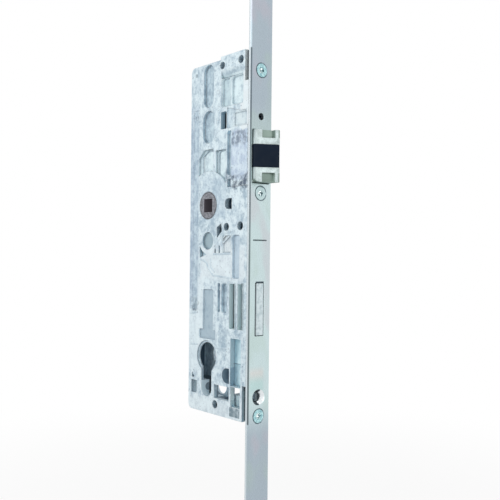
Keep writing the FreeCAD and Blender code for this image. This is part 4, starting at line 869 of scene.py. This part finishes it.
@dataclass(frozen=True)
class CoilSpring:
    """A wound spring between two seats, with closer turns at its ends."""

    node: str
    start_mm: Triple
    turn_deg: Triple
    length_mm: float
    radius_mm: float
    turns: float
    joint: str
    axis: Triple
    anchor_mm: Triple
    shortest_mm: float
    wire_mm: float = 0.8
    closed_share: float = 0.6
    steps_per_turn: int = 28
    wire_sides: int = 10

    def build(self, crew: "SubAssembly", material: bpy.types.Material) -> None:
        """Wind the spring with a Geometry Nodes tree, in place of its node.

        Args:
            crew: The sub-assembly that the spring belongs to.
            material: The wire's material.
        """
        recipe = Recipe(f"{self.node}_winding")
        length = recipe.given("Length", (self.length_mm - self.wire_mm) * MM)
        radius = recipe.given("Mean Radius", self.radius_mm * MM)
        wire = recipe.given("Wire Radius", self.wire_mm / 2 * MM)
        turns = recipe.given("Turns", self.turns)
        start = recipe.given("Start", in_metres(self.start_mm))
        tilt = recipe.given("Tilt", tuple(math.radians(value) for value in self.turn_deg))
        share = recipe.given("Closed Share", self.closed_share)
        helix = recipe.node("GeometryNodeCurveSpiral", {
            "Resolution": self.steps_per_turn, "Rotations": turns, "Start Radius": radius,
            "End Radius": radius, "Height": length})
        place = recipe.node("GeometryNodeInputPosition")
        across, deep, up = recipe.node("ShaderNodeSeparateXYZ", {"Vector": place[0]})
        eased = recipe.node("ShaderNodeMapRange", {0: up, 1: 0.0, 2: length, 3: 0.0, 4: length},
                            interpolation_type="SMOOTHSTEP")
        rise = recipe.node("ShaderNodeMix", {0: share, 2: up, 3: eased[0]})
        wound = recipe.node("ShaderNodeCombineXYZ", {"X": across, "Y": deep, "Z": rise[0]})
        moved = recipe.node("GeometryNodeSetPosition", {"Geometry": helix[0], "Position": wound[0]})
        seated = recipe.node("GeometryNodeTransform", {
            "Geometry": recipe.tube(moved[0], wire, self.wire_sides),
            "Translation": start, "Rotation": tilt})
        piece = recipe.make(f"{self.node}_wound", seated[0], material, [])
        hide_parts(self.node)
        crew.settle(piece, self.node)
        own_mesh(piece)


@dataclass(frozen=True)
class Coat:
    """What a node is dressed in, and how wide its edges are rounded, or 0 to leave them sharp."""

    node: str
    finish: str
    rounding_mm: float = 0.0


@dataclass
class SubAssembly:
    """The pieces of one sub-assembly: a coat for each node, and the springs that it winds."""

    finishes: dict[str, bpy.types.Material]
    coats: tuple[Coat, ...] = ()
    springs: tuple[CoilSpring, ...] = ()
    weld_distance: float = 1e-6
    flat_deg: float = 0.05
    sharp_deg: float = 35.0

    def round_off(self, node: str, width_mm: float) -> bpy.types.Object:
        """A copy of a node with joined faces and rounded edges, which replaces the node.

        Args:
            node: The node to copy.
            width_mm: The width of the rounding.

        Returns:
            The copy.
        """
        mesh = frame["nodes"][node].data.copy()
        shell = bmesh.new()
        shell.from_mesh(mesh)
        bmesh.ops.remove_doubles(shell, verts=shell.verts, dist=self.weld_distance)
        bmesh.ops.dissolve_limit(shell, angle_limit=math.radians(self.flat_deg), verts=shell.verts,
                                 edges=shell.edges)
        shell.to_mesh(mesh)
        shell.free()
        mesh.name = f"{node}_rounded"
        mesh.shade_smooth()
        piece = in_scene(mesh.name, mesh)
        bevel = piece.modifiers.new("rounded_edges", "BEVEL")
        bevel.width = width_mm * MM
        bevel.segments = 2
        bevel.limit_method = "ANGLE"
        bevel.angle_limit = math.radians(self.sharp_deg)
        bevel.use_clamp_overlap = False
        bevel.harden_normals = True
        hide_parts(node)
        return piece

    def settle(self, piece: bpy.types.Object, node: str) -> None:
        """Let a piece ride with a node's body.

        Args:
            piece: The piece.
            node: The node.
        """
        record = frame["record"]
        body = next(name for name, nodes in record["behaviour"]["bodies"].items() if node in nodes)
        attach(piece, body)
        log.info("%s made", piece.name)

    def extras(self) -> None:
        """Make the pieces that aren't copies of nodes, such as springs."""
        for spring in self.springs:
            spring.build(self, self.finishes["wire"])

    def build(self) -> None:
        """Dress every node, round what has a rounding, and make the extra pieces."""
        for coat in self.coats:
            width = coat.rounding_mm
            piece = self.round_off(coat.node, width) if width else frame["nodes"][coat.node]
            piece.data.materials.clear()
            piece.data.materials.append(self.finishes[coat.finish])
            if width:
                self.settle(piece, coat.node)
            log.info("%s dressed in %s", coat.node, coat.finish)
        self.extras()


@dataclass(frozen=True)
class Seam:
    """A rounded ridge of a casting: the X and Z of its corners, its middle's depth and its radius."""

    route: tuple[Pair, ...]
    depth_mm: float = -6.35
    radius_mm: float = 0.90


@dataclass(frozen=True)
class PinMarks:
    """The rings that ejector pins left on a face: its Y, and the X and Z of each ring."""

    name: str
    face_mm: float
    places_mm: tuple[Pair, ...]


@dataclass
class LockCase(SubAssembly):
    """The two cast shells, the screws that close them, and the marks that the mould left."""

    coats: tuple[Coat, ...] = (
        Coat("lock_case", "zinc"), Coat("case_cover", "zinc"), Coat("case_screws", "dark_screw"))
    mark_radius_mm: float = 1.3
    mark_wire_mm: float = 0.12
    bend_mm: float = 2.0
    marks: tuple[PinMarks, ...] = (
        PinMarks("near_pin_marks", -7.0, (
            (-52.5, 55.0), (-31.0, 68.0), (-27.0, -50.0), (-52.5, -70.0), (-45.0, -119.0), (-31.5, 50.0))),
        PinMarks("far_pin_marks", 7.0, (
            (-52.5, 50.0), (-15.0, 62.0), (-52.5, -30.0), (-15.0, -30.0), (-52.5, -118.0), (-24.0, 36.0))),
    )
    seams: tuple[Seam, ...] = (
        Seam(((-46.9, 16.6), (-46.9, 30.6), (-41.4, 33.9), (-35.6, 33.2)), -5.40, 0.45),
        Seam(((-31.0, 17.0), (-31.0, 32.2), (-24.6, 33.0)), -5.55, 0.45),
        Seam(((-33.3, -26.4), (-30.4, -22.4), (-24.6, -17.4), (-18.0, -16.4))),
        Seam(((-34.4, -29.8), (-17.6, -29.4))),
        Seam(((-46.5, -33.0), (-41.4, -34.6), (-38.6, -38.6), (-34.6, -42.6), (-17.2, -43.8))),
        Seam(((-36.9, -32.5), (-37.0, -37.5), (-33.0, -40.5))),
        Seam(((-57.0, -86.0), (-49.0, -85.6))),
        Seam(((-29.8, -86.0), (-19.0, -85.2))),
        Seam(((-57.0, -66.9), (-49.4, -65.8))),
    )
    lugs_mm: tuple[tuple[Triple, Triple], ...] = (
        ((-20.0, -3.0, -119.4), (-12.2, 2.6, -112.6)),
        ((-51.0, -4.9, -125.0), (-45.04, -0.6, -107.6)),
        ((-46.0, -4.9, -121.0), (-34.6, 3.0, -116.55)),
    )

    def run_seams(self) -> None:
        """Run the low rounded ridges along the near casting's outer face and pocket floors."""
        for number, radius_mm in enumerate(sorted({seam.radius_mm for seam in self.seams})):
            points: list[Triple] = []
            joins: list[tuple[int, int]] = []
            for seam in (seam for seam in self.seams if seam.radius_mm == radius_mm):
                first = len(points)
                points += [in_metres((across, seam.depth_mm, up)) for across, up in seam.route]
                joins += [(index, index + 1) for index in range(first, len(points) - 1)]
            recipe = Recipe(f"seam_run_{number}")
            radius = recipe.given("Ridge Radius", radius_mm * MM)
            bend = recipe.given("Bend Radius", self.bend_mm * MM)
            line = recipe.node("GeometryNodeMeshToCurve", {"Mesh": recipe.entry.outputs["Geometry"]})
            turned = recipe.node("GeometryNodeFilletCurve", {
                "Curve": line[0], "Radius": bend, "Limit Radius": True, "Count": 5}, mode="POLY")
            ridge = recipe.tube(turned[0], radius, 12)
            piece = recipe.make(f"case_seams_{number}", ridge, self.finishes["seam"], points, joins)
            self.settle(piece, "lock_case")

    def set_lugs(self) -> None:
        """Set the blocks that stand inside the case and show through its openings."""
        for number, (low, high) in enumerate(self.lugs_mm):
            recipe = Recipe(f"lug_shape_{number}")
            ends_mm = tuple(zip(low, high))
            size = recipe.given("Size", in_metres(tuple(end - start for start, end in ends_mm)))
            middle = recipe.given("Middle", in_metres(tuple((start + end) / 2 for start, end in ends_mm)))
            cube = recipe.node("GeometryNodeMeshCube", {"Size": size})
            placed = recipe.node("GeometryNodeTransform", {"Geometry": cube[0], "Translation": middle})
            lug = recipe.make(f"case_lug_{number}", placed[0], self.finishes["zinc"], [], smooth=False)
            self.settle(lug, "lock_case")

    def ring_marks(self) -> None:
        """Lay a thin ring round every mark of an ejector pin."""
        for marks in self.marks:
            recipe = Recipe(f"{marks.name}_layout")
            radius = recipe.given("Mark Radius", self.mark_radius_mm * MM)
            wire = recipe.given("Ring Radius", self.mark_wire_mm * MM)
            circle = recipe.node("GeometryNodeCurvePrimitiveCircle", {"Resolution": 24, "Radius": radius})
            upright = recipe.node("GeometryNodeTransform", {
                "Geometry": recipe.tube(circle[0], wire, 6), "Rotation": (math.pi / 2, 0.0, 0.0)})
            rings = recipe.node("GeometryNodeInstanceOnPoints", {
                "Points": recipe.entry.outputs["Geometry"], "Instance": upright[0]})
            points = [in_metres((across, marks.face_mm, up)) for across, up in marks.places_mm]
            piece = recipe.make(marks.name, rings[0], self.finishes["zinc"], points)
            self.settle(piece, "lock_case")

    def extras(self) -> None:
        """Make what the mould left on the castings: ridges, inner lugs and the rings of ejector pins."""
        self.run_seams()
        self.set_lugs()
        self.ring_marks()


@dataclass
class FaceplateSet(SubAssembly):
    """The strip on the door's edge, its screws and the steel guard behind it."""

    coats: tuple[Coat, ...] = (
        Coat("faceplate", "strip", 0.3), Coat("faceplate_screws", "screw", 0.06),
        Coat("guard_plate", "guard", 0.1))


@dataclass
class LatchSet(SubAssembly):
    """The sprung latch bolt with its plastic insert, its tail, its pins and its spring."""

    coats: tuple[Coat, ...] = (
        Coat("latch_bolt", "latch", 0.25), Coat("latch_insert", "plastic", 0.12),
        Coat("latch_shank", "inner", 0.1), Coat("latch_cross_pin", "inner", 0.15),
        Coat("latch_guide_pin", "inner", 0.15))
    springs: tuple[CoilSpring, ...] = (
        CoilSpring("latch_spring", (-26.45, 0.0, 35.0), (0.0, 90.0, 0.0), 18.8, 2.5, 8.0,
                   "latch_slide", (1, 0, 0), (-26.9, 0.0, 35.0), 9.8),)


@dataclass
class HandleGear(SubAssembly):
    """The follower that the handle's spindle turns, and what turns it back."""

    coats: tuple[Coat, ...] = (Coat("follower", "hub", 0.15), Coat("return_yoke", "inner", 0.15))
    springs: tuple[CoilSpring, ...] = (
        CoilSpring("follower_spring", (-40.0, 0.6, 38.45), (0.0, 0.0, 0.0), 19.9, 3.3, 9.0,
                   "yoke_lift", (0, 0, 1), (-40.0, 0.6, 58.0), 13.3),)


@dataclass
class DriveGear(SubAssembly):
    """The slide that the key moves, its couplings and rivets, the pinion and the detent."""

    coats: tuple[Coat, ...] = (
        Coat("drive_slide", "inner"), Coat("upper_coupling", "coupling", 0.12),
        Coat("lower_coupling", "coupling", 0.12), Coat("coupling_rivets", "inner"),
        Coat("key_gear", "sintered"), Coat("gear_pin", "inner", 0.2), Coat("detent_spring", "wire", 0.08))


@dataclass
class DeadboltSet(SubAssembly):
    """The deadbolt and the pin that runs in the slide's slot."""

    coats: tuple[Coat, ...] = (Coat("deadbolt", "bolt", 0.3), Coat("deadbolt_pin", "inner", 0.2))


@dataclass(frozen=True)
class Lamp:
    """A square soft lamp: where it hangs, its side in metres and its power in watts."""

    name: str
    place: Triple
    size: float
    power: float


@dataclass
class Studio:
    """The camera, lamps, floor and white surroundings."""

    lens_mm: float = 50.218
    sensor_mm: float = 36.0
    place: Triple = (0.297093, -0.269721, -0.030235)
    turn_deg: float = 48.5908
    pitch_deg: float = -0.44353
    roll_deg: float = 0.59173
    clip: Pair = (0.01, 100.0)
    floor_z: float = -0.205
    floor_size: float = 40.0
    floor_colour: Colour = (0.9547, 0.9547, 0.9547)
    floor_gloss: float = 0.9
    fade_mm: Pair = (210.0, 500.0)
    glow: Pair = (0.86, 1.0)
    ambient: float = 0.5
    aim: Triple = (-0.03, 0.0, -0.03)
    lamps: tuple[Lamp, ...] = (
        Lamp("key_lamp", (-0.35, -1.15, 0.45), 1.1, 4.2),
        Lamp("front_lamp", (1.15, -0.25, 0.10), 0.9, 2.6),
        Lamp("top_lamp", (0.2, 0.3, 1.2), 0.8, 2.0),
    )

    def camera(self) -> None:
        """Set the camera at the photograph's viewing angle."""
        data = bpy.data.cameras.new("camera")
        data.lens = self.lens_mm
        data.sensor_width = self.sensor_mm
        data.clip_start, data.clip_end = self.clip
        camera = in_scene("camera", data)
        camera.matrix_world = Matrix.Translation(self.place)
        for angle, axis in ((self.turn_deg, "Z"), (90.0 - self.pitch_deg, "X"), (self.roll_deg, "Z")):
            camera.matrix_world @= Matrix.Rotation(math.radians(angle), 4, axis)
        bpy.context.scene.camera = camera

    def hang(self, lamp: Lamp) -> None:
        """Hang a lamp that faces the lock's middle.

        Args:
            lamp: The lamp.
        """
        data = bpy.data.lights.new(lamp.name, "AREA")
        data.shape = "SQUARE"
        data.size = lamp.size
        data.energy = lamp.power
        light = in_scene(lamp.name, data)
        light.location = lamp.place
        light.rotation_euler = (Vector(self.aim) - Vector(lamp.place)).to_track_quat("-Z", "Y").to_euler()

    def seen_white(self, tree: Tree) -> Socket:
        """Tell the rays that are seen from those that only bring light.

        Args:
            tree: The tree to put the nodes in.

        Returns:
            A socket that is 1 for rays from the camera, from a gloss or through glass.
        """
        path = tree.node("ShaderNodeLightPath")
        total = path["Is Camera Ray"]
        for name in ("Is Glossy Ray", "Is Transmission Ray"):
            total = tree.node("ShaderNodeMath", {0: total, 1: path[name]}, operation="MAXIMUM")[0]
        return total

    def surroundings(self) -> None:
        """Make the world white to look at, and dimmer as a light."""
        world = bpy.data.worlds.new("surroundings")
        world.use_nodes = True
        world.node_tree.nodes.clear()
        tree = Tree(world.node_tree)
        strength = tree.node("ShaderNodeMapRange", {0: self.seen_white(tree), "To Min": self.ambient})
        light = tree.node("ShaderNodeBackground", {"Color": (1.0, 1.0, 1.0), "Strength": strength[0]})
        tree.node("ShaderNodeOutputWorld", {"Surface": light[0]})
        bpy.context.scene.world = world

    def floor(self) -> None:
        """Lay a pale floor that shows the lock's shadow close by and fades to white further out."""
        half = self.floor_size / 2
        mesh = bpy.data.meshes.new("floor")
        corners = [(across * half, deep * half, self.floor_z)
                   for across, deep in ((-1, -1), (1, -1), (1, 1), (-1, 1))]
        mesh.from_pydata(corners, [], [(0, 1, 2, 3)])
        floor = in_scene("floor", mesh)
        net = Net("floor_white")
        net.feed(net.surface.inputs["Base Color"], self.floor_colour)
        net.feed(net.surface.inputs["Roughness"], self.floor_gloss)
        distance = net.node("ShaderNodeVectorMath", {0: net.place_mm}, operation="LENGTH")
        fade = net.span(distance["Value"], *self.fade_mm, *self.glow)
        glow = net.node("ShaderNodeEmission")
        mixed = net.node("ShaderNodeMixShader", {
            0: fade * self.seen_white(net), 1: net.surface.outputs[0], 2: glow[0]})
        net.feed(net.output.inputs["Surface"], mixed[0])
        mesh.materials.append(net.material)

    def build(self) -> None:
        """Set up everything that isn't the lock."""
        bpy.context.scene.view_settings.view_transform = "Standard"
        self.camera()
        self.surroundings()
        self.floor()
        for lamp in self.lamps:
            self.hang(lamp)


def mix_finishes() -> dict[str, bpy.types.Material]:
    """Build every finish of the lock.

    Returns:
        The materials, by the names that the sub-assemblies use.
    """
    finishes = {
        "zinc": CastZinc(),
        # The seam ridges are painted darker than the casting, as painted shade on their flanks.
        "seam": CastZinc("seam_zinc", pale=(0.86, 0.92, 0.95), dull=(0.72, 0.80, 0.85),
                         shaded_pocket_pale=(0.74, 0.82, 0.86), shaded_pocket_dull=(0.62, 0.70, 0.75),
                         stains_and_shade=(), floor_light_and_shade=()),
        "strip": PlatedStrip(),
        "screw": PlatedScrew(),
        "dark_screw": Plating("blackened_screw", (0.30, 0.34, 0.38), (0.17, 0.20, 0.24), (0.08, 0.10, 0.13),
                              cloud_mm=1.6, edge_share=0.2),
        "latch": LatchPlating(),
        "plastic": MouldedPlastic(),
        "hub": HubSteel(),
        "sintered": Plating("sintered_steel", (0.60, 0.585, 0.60), (0.43, 0.42, 0.43), (0.17, 0.15, 0.15),
                            cloud_mm=1.2, metallic=0.45, gloss=(0.45, 0.6), edge_share=0.15, depth_mm=0.05),
        "inner": Plating("inner_steel", (0.46, 0.52, 0.57), (0.30, 0.35, 0.40), (0.12, 0.15, 0.18),
                         Grain.ALONG_Z, edge_share=0.35),
        "coupling": Plating("coupling_steel", (0.57, 0.62, 0.64), (0.40, 0.44, 0.47), (0.20, 0.24, 0.27),
                            Grain.ALONG_Z, metallic=0.5, edge_share=0.3, reach_mm=5.0),
        # The guard's colours are raised to paint light into the shade it sits in behind the window.
        "guard": Plating("guard_steel", (0.86, 0.96, 0.985), (0.74, 0.86, 0.90), (0.50, 0.60, 0.65),
                         Grain.ALONG_Z, edge_share=0.3),
        "bolt": GroundBolt(),
        "wire": Plating("spring_wire", (0.62, 0.64, 0.66), (0.42, 0.44, 0.46), (0.15, 0.16, 0.18),
                        cloud_mm=1.0),
    }
    return {name: finish.build() for name, finish in finishes.items()}


def main() -> None:
    """Build the studio and every sub-assembly of the lock."""
    logging.basicConfig(level=logging.INFO, format="%(message)s")
    Studio().build()
    finishes = mix_finishes()
    for crew in (LockCase, FaceplateSet, LatchSet, HandleGear, DriveGear, DeadboltSet):
        crew(finishes).build()


if __name__ == "__main__":
    main()
